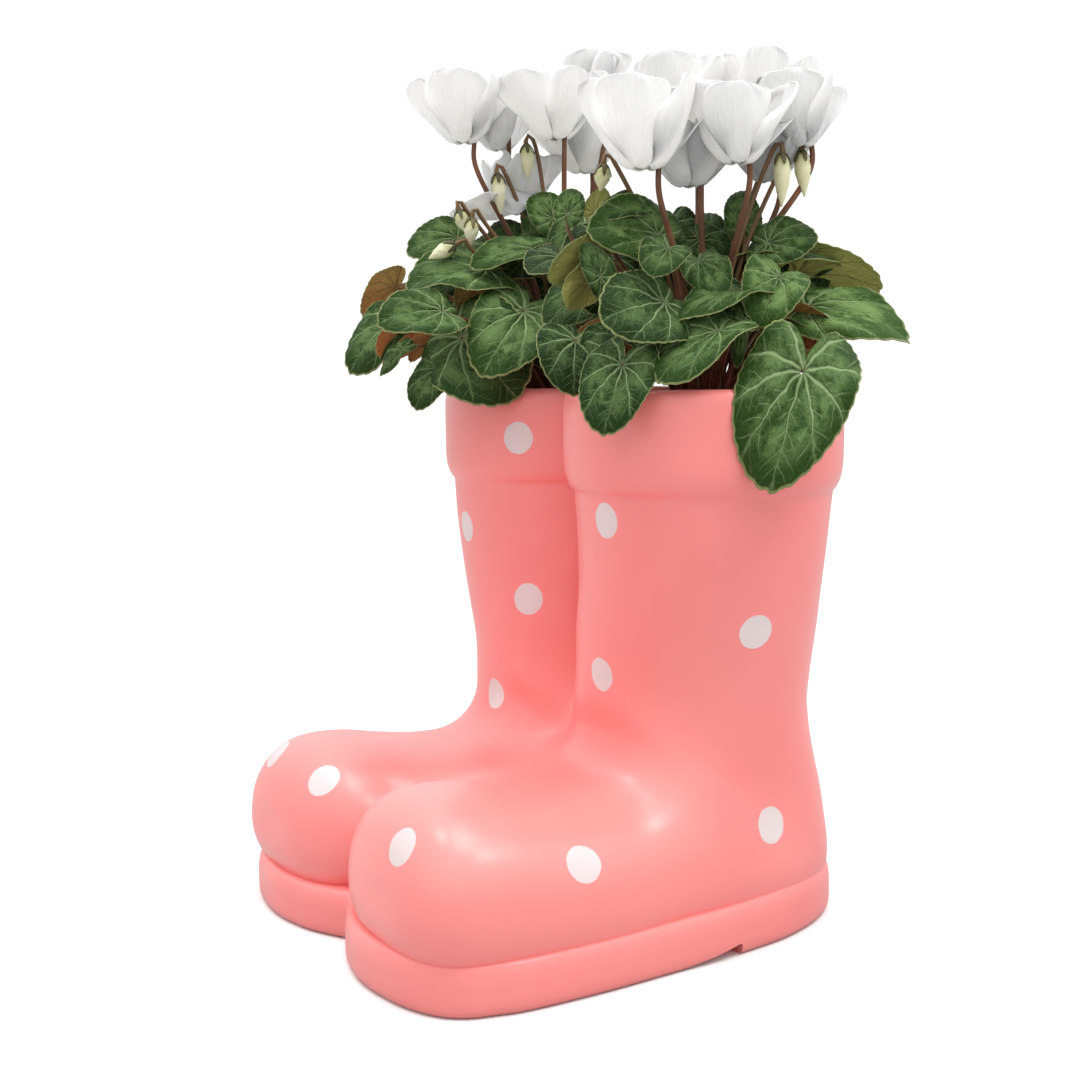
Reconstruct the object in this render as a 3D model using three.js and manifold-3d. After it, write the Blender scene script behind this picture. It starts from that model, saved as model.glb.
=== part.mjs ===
// Potted miniature cyclamen: two flowering plants in a one-piece planter shaped like a pair of rain boots.
// Frame: millimetres, +Z up, origin on the floor under the middle of the pair, toes toward -Y,
// the two boots side by side along X and mirrored about the plane X = 0.
import * as THREE from "three";
import { mergeVertices } from "three/addons/utils/BufferGeometryUtils.js";
import Module from "manifold-3d";

const wasm = await Module();
wasm.setup();

// ---- planter ----
const RIM_HEIGHT = 240;
const CUFF_HEIGHT = 44; // folded-look band at the top of each shaft
const CUFF_PROUD = 4; // how far the band stands out from the shaft
const SHAFT_X = 58.5; // centre of each opening
const SHAFT_Y = 3;
const SHAFT_HALF_X = 58; // shaft half-sizes just under the cuff
const SHAFT_HALF_Y = 55.8;
const WALL = 6;
const FLOOR = 10; // thickness under the hollow
const SOLE_THICK = 22;
const ARCH_FRONT = -36; // the recess under the foot runs from here to the heel breast
const ARCH_BACK = -10;
const ARCH_DEEP = 4;

// ---- soil and tubers ----
const SOIL_TOP = 228;
const FIT_GAP = 0.3; // clearance wherever two pieces touch
const TUBER_RADIUS = 19;
const TUBER_TOP = 237;
const TUBER_SUNK = 7; // depth of the tuber below the soil surface

// ---- plants ----
const LEAF_THICK = 0.9;
const PETAL_THICK = 0.8;
const PETIOLE_RADIUS = 1.1;
const STALK_RADIUS = 1.25;
const BUD_STALK_RADIUS = 1.0;

// Sections of one boot from the toe tip round the ankle and up the shaft. Each is an oval in a plane that holds
// the X direction: front (or top) point y z, back (or bottom) point y z, half-width, squareness, middle line x,
// and squareness of the back or lower half.
const SECTIONS = [
  [-156.7, 49, -160, 44.2, 0.8, 2.01, 60.5, 2.61],
  [-154.9, 61.2, -159.6, 30.3, 25.8, 2.06, 61, 2.61],
  [-147.8, 72.1, -154.1, 17.3, 42.1, 2.11, 59.5, 2.61],
  [-136, 79, -143.6, 8.3, 50.9, 2.16, 58.5, 2.61],
  [-117.7, 79.6, -125.1, 3.2, 53.8, 2.19, 58.4, 2.61],
  [-96.7, 75.9, -100.1, 1.1, 55.8, 2.23, 56.8, 2.61],
  [-77.2, 73.4, -68.1, 0, 56.5, 2.27, 55, 2.61],
  [-60.9, 74.5, -34, 0, 55.8, 2.25, 52.9, 2.61],
  [-50.6, 80.7, 5.9, 0, 56.2, 2.25, 51.7, 2.61],
  [-46.4, 92.1, 43.7, 2, 54.2, 2.26, 50.5, 2.61],
  [-48, 106.4, 64.6, 16, 51.1, 2.28, 48.7, 2.54],
  [-49, 120.6, 62.8, 48, 49.7, 2.17, 49.7, 2.39],
  [-49.8, 135.8, 51.8, 95, 50.1, 2.15, 52.1, 2.24],
  [-50, 153.8, 53.5, 142, 53.3, 2.12, 56.5, 2.12],
  [-51.4, 175.9, 55.5, 174, 55.4, 2.1, 58.5, 2.1],
  [-52.7, 195.4, 58.8, 195.4, 57.6, 2.05, 58.5, 2.05],
];
// Plan of one sole from the heel round the outer side to between the toes; its inner end lies beyond X = 0,
// where the two soles merge.
const SOLE_OUTLINE = [
  [-4, 13], [2.8, 29.7], [9.8, 43.5], [18.6, 54.9], [29.5, 63.2], [41.2, 68.4], [53, 70.1],
  [63.8, 68.7], [74, 64.2], [82.4, 57.9], [89.3, 49.8], [95.5, 39.9], [101.5, 26.2],
  [105.4, 12.8], [107.7, -2.1], [108.5, -20], [109.1, -40], [110.1, -58.1], [111.1, -76],
  [111.4, -94], [111.3, -110], [110.4, -122.9], [109.4, -130.3], [107.6, -137.1], [104.7, -143],
  [100.7, -147.9], [95.5, -152], [88.2, -155.6], [79.8, -158.5], [67.9, -160.7], [56.9, -161.9],
  [44.1, -161.6], [32.2, -159.5], [24.3, -157.5], [13.4, -152.7], [4.5, -147.7], [-4, -142.6],
];
// Cuff profile: height above its lower edge, and how far it stands out from the shaft.
const CUFF_PROFILE = [
  [0.5, 2.4],
  [4, 3.7],
  [22, CUFF_PROUD],
  [CUFF_HEIGHT - 4, 3.6],
  [CUFF_HEIGHT, 1.2],
];

const material = (color, roughness) =>
  new THREE.MeshStandardMaterial({ color, roughness, metalness: 0 });
const vec = (x, y, z) => new THREE.Vector3(x, y, z);
const radians = (degrees) => (degrees * Math.PI) / 180;

// ---- solids ----

// A closed mesh given by its points and triangles becomes a solid.
function solid(points, triangles) {
  const geometry = new THREE.BufferGeometry();
  geometry.setAttribute("position", new THREE.Float32BufferAttribute(points.flat(), 3));
  geometry.setIndex(triangles.flat());
  const merged = mergeVertices(geometry, 1e-4);
  return new wasm.Manifold(
    new wasm.Mesh({
      numProp: 3,
      vertProperties: merged.attributes.position.array,
      triVerts: new Uint32Array(merged.index.array),
    }),
  );
}

function solidOf(geometry) {
  const bare = geometry.clone();
  bare.deleteAttribute("normal");
  bare.deleteAttribute("uv");
  const merged = mergeVertices(bare, 1e-4);
  return new wasm.Manifold(
    new wasm.Mesh({
      numProp: 3,
      vertProperties: merged.attributes.position.array,
      triVerts: new Uint32Array(merged.index.array),
    }),
  );
}

function geometryOf(body) {
  const mesh = body.getMesh();
  const points = [];
  for (let i = 0; i < mesh.numVert; i += 1) {
    points.push(...mesh.vertProperties.subarray(i * mesh.numProp, i * mesh.numProp + 3));
  }
  const geometry = new THREE.BufferGeometry();
  geometry.setAttribute("position", new THREE.Float32BufferAttribute(points, 3));
  geometry.setIndex([...mesh.triVerts]);
  return geometry;
}

function largest(body) {
  const parts = body.decompose();
  parts.sort((a, b) => b.volume() - a.volume());
  return parts[0];
}

// Closed body through rings of equal length, with a flat fan over each end.
function loft(rings) {
  const n = rings[0].length;
  const points = rings.flat();
  const triangles = [];
  for (let k = 0; k + 1 < rings.length; k += 1) {
    for (let i = 0; i < n; i += 1) {
      const a = k * n + i;
      const b = k * n + ((i + 1) % n);
      triangles.push([a, b, b + n], [a, b + n, a + n]);
    }
  }
  for (const [ring, turned] of [[rings[0], true], [rings.at(-1), false]]) {
    const first = turned ? 0 : (rings.length - 1) * n;
    const middle = [0, 1, 2].map((c) => ring.reduce((sum, p) => sum + p[c], 0) / n);
    const centre = points.push(middle) - 1;
    for (let i = 0; i < n; i += 1) {
      const a = first + i;
      const b = first + ((i + 1) % n);
      triangles.push(turned ? [b, a, centre] : [a, b, centre]);
    }
  }
  const body = solid(points, triangles);
  return body.volume() > 0 ? body : solid(points, triangles.map(([a, b, c]) => [a, c, b]));
}

// Round stalk along a curve: rings carried along it without twisting.
function stalk(curve, radiusAt, steps, sides) {
  const rings = [];
  let across = null;
  for (let k = 0; k <= steps; k += 1) {
    const t = k / steps;
    const along = curve.getTangent(t);
    if (!across) across = Math.abs(along.x) < 0.9 ? vec(1, 0, 0) : vec(0, 1, 0);
    across = across.clone().sub(along.clone().multiplyScalar(across.dot(along))).normalize();
    const side = along.clone().cross(across);
    const centre = curve.getPoint(t);
    const ring = [];
    for (let i = 0; i < sides; i += 1) {
      const angle = (2 * Math.PI * i) / sides;
      const r = radiusAt(t);
      ring.push(
        centre
          .clone()
          .addScaledVector(across, r * Math.cos(angle))
          .addScaledVector(side, r * Math.sin(angle))
          .toArray(),
      );
    }
    rings.push(ring);
  }
  return loft(rings);
}

// ---- planter ----

const power = (value, exponent) => Math.sign(value) * Math.abs(value) ** exponent;

// Section values between two of the listed ones, on a smooth curve through all of them.
function sectionAt(t) {
  const i = Math.min(Math.floor(t), SECTIONS.length - 2);
  const f = t - i;
  const before = SECTIONS[Math.max(i - 1, 0)];
  const after = SECTIONS[Math.min(i + 2, SECTIONS.length - 1)];
  return SECTIONS[i].map((p1, k) => {
    const p0 = before[k];
    const p2 = SECTIONS[i + 1][k];
    const p3 = after[k];
    const bend = (2 * p0 - 5 * p1 + 4 * p2 - p3) * f * f;
    return 0.5 * (2 * p1 + (p2 - p0) * f + bend + (3 * p1 - p0 - 3 * p2 + p3) * f * f * f);
  });
}

// One oval ring of a boot, drawn in by inset millimetres.
function bootRing([yf, zf, yb, zb, half, square, middle, low], inset, sides) {
  const length = Math.hypot(yf - yb, zf - zb) / 2;
  const shrink = Math.max(1 - inset / length, 0.05);
  const ring = [];
  for (let i = 0; i < sides; i += 1) {
    const angle = (2 * Math.PI * (i + 0.5)) / sides;
    const sharpness = 2 / (Math.cos(angle) < 0 ? low : square);
    const along = power(Math.cos(angle), sharpness) * shrink;
    const across = power(Math.sin(angle), sharpness);
    ring.push([
      middle + Math.max(half - inset, 0.4) * across,
      (yf + yb) / 2 + ((yf - yb) / 2) * along,
      (zf + zb) / 2 + ((zf - zb) / 2) * along,
    ]);
  }
  return ring;
}

const cuffSection = (z, proud) => [
  SHAFT_Y - SHAFT_HALF_Y - proud,
  z,
  SHAFT_Y + SHAFT_HALF_Y + proud,
  z,
  SHAFT_HALF_X + proud,
  2.05,
  SHAFT_X,
  2.05,
];

function bootUpper() {
  const rings = [];
  const last = SECTIONS.length - 1;
  for (let t = 0; t < last; t += 1) rings.push(bootRing(SECTIONS[t], 0, 18));
  rings.push(bootRing(SECTIONS[last], 0, 18));
  for (const [up, proud] of CUFF_PROFILE) {
    rings.push(bootRing(cuffSection(RIM_HEIGHT - CUFF_HEIGHT + up, proud), 0, 18));
  }
  return loft(rings);
}

// The hollow, or what fills it: the same sections drawn in, from the toe up to the height top.
function bootInside(inset, top) {
  const rings = [];
  const last = SECTIONS.length - 1;
  for (let t = 2.4; t < last - 1; t += 1.8) {
    const section = sectionAt(t);
    section[3] = Math.max(section[3], FLOOR - WALL);
    rings.push(bootRing(section, inset, 14));
  }
  rings.push(bootRing(SECTIONS[last], inset, 14));
  rings.push(bootRing(cuffSection(top, 0), inset, 14));
  return loft(rings);
}

// Plan outline of one sole, its edge drawn in by inset.
function soleRing(z, inset) {
  return SOLE_OUTLINE.map(([x, y], i) => {
    const [beforeX, beforeY] = SOLE_OUTLINE[Math.max(i - 1, 0)];
    const [afterX, afterY] = SOLE_OUTLINE[Math.min(i + 1, SOLE_OUTLINE.length - 1)];
    const step = Math.hypot(afterX - beforeX, afterY - beforeY);
    return [x + (inset * (afterY - beforeY)) / step, y - (inset * (afterX - beforeX)) / step, z];
  });
}

function sole() {
  return loft([
    soleRing(0, 3.6),
    soleRing(1.4, 1.3),
    soleRing(6, 0),
    soleRing(SOLE_THICK - 3.5, 0),
    soleRing(SOLE_THICK, 2.4),
  ]);
}

// Wedge that rises gently from the ball of the foot and ends at the heel breast.
function archRecess() {
  const shape = new THREE.Shape();
  shape.moveTo(ARCH_FRONT, -1);
  shape.lineTo(ARCH_FRONT, 0);
  shape.lineTo(ARCH_BACK - 1.5, ARCH_DEEP);
  shape.lineTo(ARCH_BACK, -1);
  shape.closePath();
  const wedge = new THREE.ExtrudeGeometry(shape, { depth: 300, bevelEnabled: false });
  wedge.applyMatrix4(new THREE.Matrix4().makeTranslation(0, 0, -150));
  wedge.applyMatrix4(new THREE.Matrix4().makeBasis(vec(0, 1, 0), vec(0, 0, 1), vec(1, 0, 0)));
  return solidOf(wedge);
}

const mirrored = (body) => body.mirror([1, 0, 0]);

function planter() {
  const boot = bootUpper().add(sole());
  const hollow = bootInside(WALL, RIM_HEIGHT + 1);
  return boot
    .add(mirrored(boot))
    .subtract(hollow)
    .subtract(mirrored(hollow))
    .subtract(archRecess());
}

// ---- soil and tubers, drawn for the boot on the +X side ----

function tuberBody(grow) {
  const low = SOIL_TOP - TUBER_SUNK;
  const profile = [
    [0, low - grow],
    [11 + grow, low + 1.2 - grow],
    [TUBER_RADIUS - 1.5 + grow, low + 4.5],
    [TUBER_RADIUS + grow, SOIL_TOP + 1],
    [TUBER_RADIUS - 2.5 + grow, TUBER_TOP - 3.6 + grow],
    [11, TUBER_TOP - 1 + grow],
    [0, TUBER_TOP + grow],
  ].map(([r, z]) => new THREE.Vector2(r, z));
  const geometry = new THREE.LatheGeometry(profile, 12);
  geometry.applyMatrix4(new THREE.Matrix4().makeRotationX(Math.PI / 2));
  geometry.applyMatrix4(new THREE.Matrix4().makeTranslation(SHAFT_X, SHAFT_Y, 0));
  return solidOf(geometry);
}

function soilBody() {
  return bootInside(WALL + FIT_GAP, SOIL_TOP).subtract(tuberBody(FIT_GAP));
}

// Height of the tuber's crown at a distance from its axis.
function crownHeight(r) {
  if (r < 11) return TUBER_TOP - r / 11;
  return TUBER_TOP - 1 - ((r - 11) / (TUBER_RADIUS - 13.5)) * 2.6;
}

// ---- plants ----

const plantX = { near: SHAFT_X, far: -SHAFT_X };

// Where a stalk leaves the tuber: plant, bearing in degrees from +X, distance from the axis.
function rootPoint(plant, bearing, distance) {
  const a = radians(bearing);
  return vec(
    plantX[plant] + distance * Math.cos(a),
    SHAFT_Y + distance * Math.sin(a),
    crownHeight(Math.max(distance - 1.3, 0)) + FIT_GAP,
  );
}

// Heart-shaped outline: distance from the junction for a length of 1, by angle from the tip.
const OUTLINE_ANGLES = [0, 25, 50, 75, 100, 125, 150, 168, 180];
const OUTLINE_RADII = [1, 0.8, 0.64, 0.56, 0.52, 0.5, 0.45, 0.34, 0.13];

const EDGE_ANGLES = [-180, -148, -108, -68, -34, 0, 34, 68, 108, 148];

function outlineRadius(angle) {
  const a = Math.abs(angle);
  let i = 0;
  while (i < OUTLINE_ANGLES.length - 2 && a > OUTLINE_ANGLES[i + 1]) i += 1;
  const f = (a - OUTLINE_ANGLES[i]) / (OUTLINE_ANGLES[i + 1] - OUTLINE_ANGLES[i]);
  return OUTLINE_RADII[i] + (OUTLINE_RADII[i + 1] - OUTLINE_RADII[i]) * f;
}

// A leaf's own axes: along to the tip, normal out of its upper face (turned by roll about along), and across.
function leafAxes({ at, tip, roll }) {
  const along = vec(...tip).sub(vec(...at));
  const length = along.length();
  along.normalize();
  const level = vec(0, 0, 1).addScaledVector(along, -along.z).normalize();
  const side = level.clone().cross(along);
  const normal = level
    .clone()
    .multiplyScalar(Math.cos(radians(roll)))
    .addScaledVector(side, Math.sin(radians(roll)));
  return { along, normal, across: normal.clone().cross(along), length };
}

// Blade: the outline on rings round the junction, folded up along the midrib and bent down toward the tip.
function bladeBody(leaf, grow) {
  const { along, normal, across, length } = leafAxes(leaf);
  const { at, wide = 0.9, droop = 25, fold = 9 } = leaf;
  const bend = radians(droop);
  const scale = (length * (bend / 2)) / Math.sin(bend / 2);
  const rise = Math.tan(radians(fold));
  const half = bend / 2;
  const rings = [0.5, 1];
  const grid = [];
  const place = (x, y, z) => {
    const a = bend * x;
    const px = Math.sin(a) / bend + z * Math.sin(a);
    const pz = -(1 - Math.cos(a)) / bend + z * Math.cos(a);
    return vec(...at)
      .addScaledVector(along, scale * (px * Math.cos(half) - pz * Math.sin(half)))
      .addScaledVector(across, scale * y)
      .addScaledVector(normal, scale * (px * Math.sin(half) + pz * Math.cos(half)));
  };
  const surface = (x, y) => place(x, y, rise * (Math.sqrt(y * y + 0.01) - 0.1));
  for (const share of rings) {
    const row = [];
    for (const angle of EDGE_ANGLES) {
      const r = share * (outlineRadius(angle) + (share === 1 ? grow / scale : 0));
      row.push([r * Math.cos(radians(angle)), r * Math.sin(radians(angle)) * wide]);
    }
    grid.push(row);
  }
  const points = grid.map((row) => row.map(([x, y]) => surface(x, y)));
  const normals = grid.map((row) =>
    row.map(([x, y]) => {
      const dx = surface(x + 0.01, y).sub(surface(x - 0.01, y));
      const dy = surface(x, y + 0.01).sub(surface(x, y - 0.01));
      return dy.cross(dx).normalize().multiplyScalar(-1);
    }),
  );
  return fan(points, normals, surface(0, 0), normal, LEAF_THICK + 2 * grow);
}

// Closed sheet over rings round a middle point.
function fan(rings, normals, middle, middleNormal, thickness) {
  const n = rings[0].length;
  const points = [];
  for (const sign of [0.5, -0.5]) {
    points.push(middle.clone().addScaledVector(middleNormal, sign * thickness).toArray());
    rings.forEach((ring, k) =>
      ring.forEach((p, i) =>
        points.push(p.clone().addScaledVector(normals[k][i], sign * thickness).toArray()),
      ),
    );
  }
  const half = points.length / 2;
  const triangles = [];
  for (let i = 0; i < n; i += 1) {
    const j = (i + 1) % n;
    triangles.push([0, 1 + i, 1 + j], [half, half + 1 + j, half + 1 + i]);
    for (let k = 0; k + 1 < rings.length; k += 1) {
      const a = 1 + k * n + i;
      const b = 1 + k * n + j;
      triangles.push([a, a + n, b + n], [a, b + n, b]);
      triangles.push([a + half, b + n + half, a + n + half], [a + half, b + half, b + n + half]);
    }
    const a = 1 + (rings.length - 1) * n + i;
    const b = 1 + (rings.length - 1) * n + j;
    triangles.push([a, a + half, b + half], [a, b + half, b]);
  }
  const body = solid(points, triangles);
  return body.volume() > 0 ? body : solid(points, triangles.map(([a, b, c]) => [a, c, b]));
}

// Petiole: leaves the tuber upward and outward and comes to the junction from below and behind.
function petioleBody(leaf, grow) {
  const { along, normal } = leafAxes(leaf);
  const root = rootPoint(leaf.plant, leaf.root[0], leaf.root[1]);
  const end = vec(...leaf.at).addScaledVector(normal, -0.1);
  const reach = root.distanceTo(end);
  const outward = end.clone().sub(root).setZ(0).multiplyScalar(0.3);
  const lift = leaf.lift ?? 0.5;
  const first = root.clone().add(outward).add(vec(0, 0, reach * lift));
  const second = end
    .clone()
    .addScaledVector(normal, -reach * 0.12)
    .addScaledVector(along, -reach * 0.16);
  const curve = new THREE.CubicBezierCurve3(root, first, second, end);
  return stalk(curve, (t) => PETIOLE_RADIUS * (1 - 0.3 * t) + grow, 4, 4);
}

// Flower: five upswept petals round a short tube whose mouth points down, on a hooked stalk.
// The stalk swells into the tube over its last few millimetres.
function flowerAxes({ lean = [0, 0] }) {
  const up = vec(Math.sin(radians(lean[0])), Math.sin(radians(lean[1])), 1).normalize();
  const east = vec(1, 0, 0).addScaledVector(up, -up.x).normalize();
  return { up, east, north: up.clone().cross(east) };
}

// Petals: start at the mouth, turn out and sweep up. Rows give the distance from the axis, the height, and
// the half-angle that each petal covers; between petals the sheet stays low, which leaves a slit.
const PETAL_ROWS = [
  [2.8, -0.6, 36],
  [9.6, 5, 33],
  [15.5, 30, 24],
];
const SLIT_ROWS = [
  [2.8, -0.6],
  [5.4, 1.4],
  [7.2, 4.2],
];

function petalsBody(flower, grow) {
  const { up, east, north } = flowerAxes(flower);
  const { at, size = 1, spin = 0, spread = 1 } = flower;
  const place = (r, h, bearing) =>
    vec(...at)
      .addScaledVector(east, r * Math.cos(radians(bearing)))
      .addScaledVector(north, r * Math.sin(radians(bearing)))
      .addScaledVector(up, h);
  const grid = [];
  const normals = [];
  PETAL_ROWS.forEach(([r, h, half], k) => {
    const row = [];
    const rowNormals = [];
    const turn = radians(k === 0 ? 12 : 70 + 20 * (k - 1));
    const reach = (q) => (k ? 3 + (q - 3) * spread : q) * size;
    for (let i = 0; i < 5; i += 1) {
      const middle = spin + 72 * i;
      const slit = SLIT_ROWS[k];
      const corners = [
        [reach(slit[0]), slit[1], middle - 36],
        [reach(r), h, middle - half * 0.8],
        [reach(r), h, middle + half * 0.8],
      ];
      for (const [distance, height, bearing] of corners) {
        row.push(place(distance, height * size, bearing));
        const level = place(1, 0, bearing).sub(vec(...at));
        rowNormals.push(level.multiplyScalar(-Math.sin(turn)).addScaledVector(up, Math.cos(turn)));
      }
    }
    grid.push(row);
    normals.push(rowNormals);
  });
  return fan(grid, normals, place(0, 0, 0), up, PETAL_THICK + 2 * grow);
}

// Stalk of a flower: climbs beside the mouth between two petals and hooks over into the top of the tube.
function flowerStalkBody(flower, grow) {
  const { up, east, north } = flowerAxes(flower);
  const { at, size = 1, spin = 0, side = 0 } = flower;
  const bearing = radians(spin + 36 + 72 * side);
  const out = east.clone().multiplyScalar(Math.cos(bearing)).addScaledVector(north, Math.sin(bearing));
  const middle = vec(...at);
  const beside = (r, h) => middle.clone().addScaledVector(out, r * size).addScaledVector(up, h * size);
  const root = rootPoint(flower.plant, flower.root[0], flower.root[1]);
  const below = beside(4.9, -9);
  const span = below.distanceTo(root);
  const lift = root.clone().add(vec(0, 0, span * 0.45)).addScaledVector(below.clone().sub(root).setZ(0), 0.25);
  const curve = new THREE.CatmullRomCurve3(
    [root, lift, below, beside(5.0, 1), beside(4.6, 9.5), beside(2.4, 12), beside(0.4, 9.5), beside(0, 0)],
    false,
    "centripetal",
  );
  const tube = 1 - 8 / (span + 30);
  const radius = (t) => (t > tube ? 2.3 * size : STALK_RADIUS * (1.05 - 0.3 * t)) + grow;
  return stalk(curve, radius, 12, 4);
}

// Bud: a pointed, twisted drop that hangs from the hooked end of its stalk.
function budBody(bud, grow) {
  const { at, tip, size = 1 } = bud;
  const line = new THREE.LineCurve3(vec(...at), vec(...tip));
  const swell = (t) => (0.9 + 2.3 * Math.sin(Math.PI * Math.min(t * 1.25 + 0.08, 1)) ** 0.8) * size;
  return stalk(line, (t) => Math.max(swell(t), 0.5) + grow, 4, 5);
}

function budStalkBody(bud, grow) {
  const root = rootPoint(bud.plant, bud.root[0], bud.root[1]);
  const top = vec(...bud.at);
  const hang = vec(...bud.tip).sub(top).normalize();
  const over = top.clone().addScaledVector(hang, -4.5);
  const back = root.clone().sub(top).setZ(0).normalize();
  const beside = over.clone().addScaledVector(back, 4).add(vec(0, 0, -2.5));
  const span = beside.distanceTo(root);
  const lift = root.clone().add(vec(0, 0, span * 0.5)).addScaledVector(beside.clone().sub(root).setZ(0), 0.25);
  const end = top.clone().addScaledVector(hang, 1.2);
  const curve = new THREE.CatmullRomCurve3(
    [root, lift, beside, over.clone().addScaledVector(back, 1.6).add(vec(0, 0, 0.8)), over, end],
    false,
    "centripetal",
  );
  return stalk(curve, () => BUD_STALK_RADIUS + grow, 9, 4);
}

// Leaves: plant, junction with the petiole, tip, roll about the line between them in degrees, width factor,
// bend toward the tip and fold along the midrib in degrees, and where the petiole roots (bearing, distance).
const LEAVES = [
  ["near", [127, 3, 247], [133, -18, 198], 35, 0.74, 20, 6, [0, 15]],
  ["near", [92, 33, 274], [126, 60, 261], -35, 0.8, 25, 14, [39, 14]],
  ["near", [75, 41, 289], [103, 69, 283], 55, 0.62, 30, 10, [81, 10.5]],
  ["near", [100, 12, 285], [107, -3, 267], 25, 1, 30, 20, [9, 11]],
  ["near", [95, -3, 280], [93, -36, 266], 50, 0.7, 30, 22, [-9, 11]],
  ["near", [86, -36, 275], [88, -67, 268], 50, 1.05, 20, 6, [-54, 13]],
  ["near", [79, -13, 292], [95, -14, 277], -25, 0.8, 25, 10, [-32, 9.5]],
  ["near", [62, -22, 303], [54, -52, 307], 60, 0.85, 25, 10, [-72, 9.5]],
  ["near", [80, 22, 301], [95, 38, 302], -60, 1, 30, 10, [28, 11]],
  ["near", [106, -16, 266], [100, -51, 243], 45, 0.75, 20, 14, [-21, 13]],
  ["near", [88, -57, 250], [91, -68, 222], 35, 0.85, 20, 8, [-66, 15]],
  ["near", [65, -65, 260], [73, -71, 239], 5, 1.15, 40, 16, [-84, 13.5]],
  ["far", [-24, -40, 275], [-16, -68, 244], 40, 0.88, 30, 6, [-48, 13]],
  ["far", [-40, -64, 263], [-16, -49, 237], -60, 1.15, 30, 8, [-63, 15.5]],
  ["far", [-35, -76, 275], [-37, -106, 272], 45, 0.85, 20, 8, [-75, 14]],
  ["far", [-47, -47, 295], [-60, -86, 287], 35, 0.75, 30, 14, [-63, 12]],
  ["far", [-71, -50, 311], [-81, -74, 305], 50, 0.9, 30, 10, [-108, 12.5]],
  ["far", [-79, -78, 274], [-88, -100, 249], 40, 0.75, 30, 10, [-111, 16]],
  ["far", [-98, -70, 289], [-110, -83, 274], -50, 0.85, 20, 8, [-123, 12]],
  ["far", [-56, -87, 258], [-61, -98, 246], 35, 0.6, 20, 8, [-99, 15.5]],
  ["far", [-42, -76, 249], [-41, -89, 232], 35, 0.8, 20, 8, [-87, 15.5]],
  ["far", [-30, -27, 303], [-40, -58, 299], 35, 0.6, 20, 20, [-42, 10]],
  ["far", [-28, -5, 314], [-24, -24, 300], 35, 0.9, 30, 14, [-15, 9.5]],
  ["far", [0, -16, 287], [3, -43, 267], 35, 0.8, 30, 10, [-21, 12.5]],
  ["near", [54, 7, 301], [39, 10, 319], 15, 0.9, 30, 12, [138, 9.5]],
  ["near", [24, 23, 268], [-6, 40, 254], 0, 0.9, 25, 10, [150, 12.5]],
  ["near", [37, 44, 276], [21, 74, 260], 0, 0.95, 25, 10, [117, 11.5]],
  ["near", [62, 47, 262], [65, 83, 242], 0, 0.9, 25, 10, [87, 13.5]],
  ["near", [74, 29, 296], [88, 55, 292], 0, 0.9, 25, 10, [63, 10.5]],
  ["far", [-26, 30, 272], [0, 52, 256], 0, 0.9, 25, 10, [39, 12]],
  ["far", [-47, 46, 264], [-37, 82, 244], 0, 0.95, 25, 10, [75, 13]],
  ["far", [-74, 42, 274], [-88, 75, 260], 0, 0.9, 25, 10, [111, 12]],
  ["far", [-98, 26, 266], [-130, 44, 246], 0, 0.95, 25, 10, [150, 13]],
].map(([plant, at, tip, roll, wide, droop, fold, root]) => ({ plant, at, tip, roll, wide, droop, fold, root }));

// Flowers: plant, middle of the mouth, size, turn of the petals in degrees, how far they spread, root.
const FLOWERS = [
  ["far", [-65, -48, 355], 0.85, 10, 1.25, [-118, 6]],
  ["far", [-72, -25, 354], 0.85, 40, 0.9, [-150, 3.5]],
  ["far", [-47, -9, 357], 1, 0, 1.1, [-45, 5]],
  ["far", [-56, 21, 376], 0.85, 20, 0.6, [81, 5]],
  ["near", [72, -36, 329], 1.15, 30, 1.05, [-60, 5.5]],
  ["near", [45, 4, 353], 0.9, 15, 0.9, [177, 4]],
  ["near", [86, 1, 332], 1.2, 5, 0.85, [-3, 5]],
  ["near", [55, 34, 352], 0.95, 50, 0.9, [96, 5]],
  ["near", [84, 35, 341], 0.95, 25, 0.8, [51, 5]],
  ["far", [-69, 20, 346], 0.9, 60, 0.95, [123, 5]],
  ["near", [60, -5, 325], 0.85, 10, 0.9, [-78, 1.5]],
  ["near", [69, 30, 328], 0.8, 33, 0.9, [72, 7.5]],
  ["far", [-77, -14, 325], 0.9, 0, 0.85, [-178, 6]],
].map(([plant, at, size, spin, spread, root]) => ({ plant, at, size, spin, spread, root }));

// Buds: plant, top and tip of the bud, root.
const BUDS = [
  ["far", [-39, -29, 347], [-37, -29, 337], [-60, 8]],
  ["far", [-60, -33, 339], [-59, -33, 328], [-80, 5]],
  ["far", [-59, -54, 323], [-57, -52, 316], [-93, 12]],
  ["far", [-52, -50, 316], [-52, -53, 306], [-76, 10]],
  ["far", [-61, -57, 308], [-66, -67, 301], [-120, 9.5]],
  ["near", [44, -38, 332], [44, -40, 324], [-108, 8]],
  ["near", [92, 30, 331], [93, 30, 319], [39, 8]],
  ["near", [96, 14, 330], [98, 14, 313], [15, 8]],
].map(([plant, at, tip, root]) => ({ plant, at, tip, root }));

// ---- assembly ----

const touching = (a, b) => {
  const p = a.boundingBox();
  const q = b.boundingBox();
  return [0, 1, 2].every((c) => p.min[c] < q.max[c] + 1 && q.min[c] < p.max[c] + 1);
};

// Takes the grown shape of each neighbour out of a body, so that a fitting gap is left round it.
function clearOf(body, neighbours) {
  return neighbours.filter((n) => touching(body, n)).reduce((left, n) => left.subtract(n), body);
}

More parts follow.
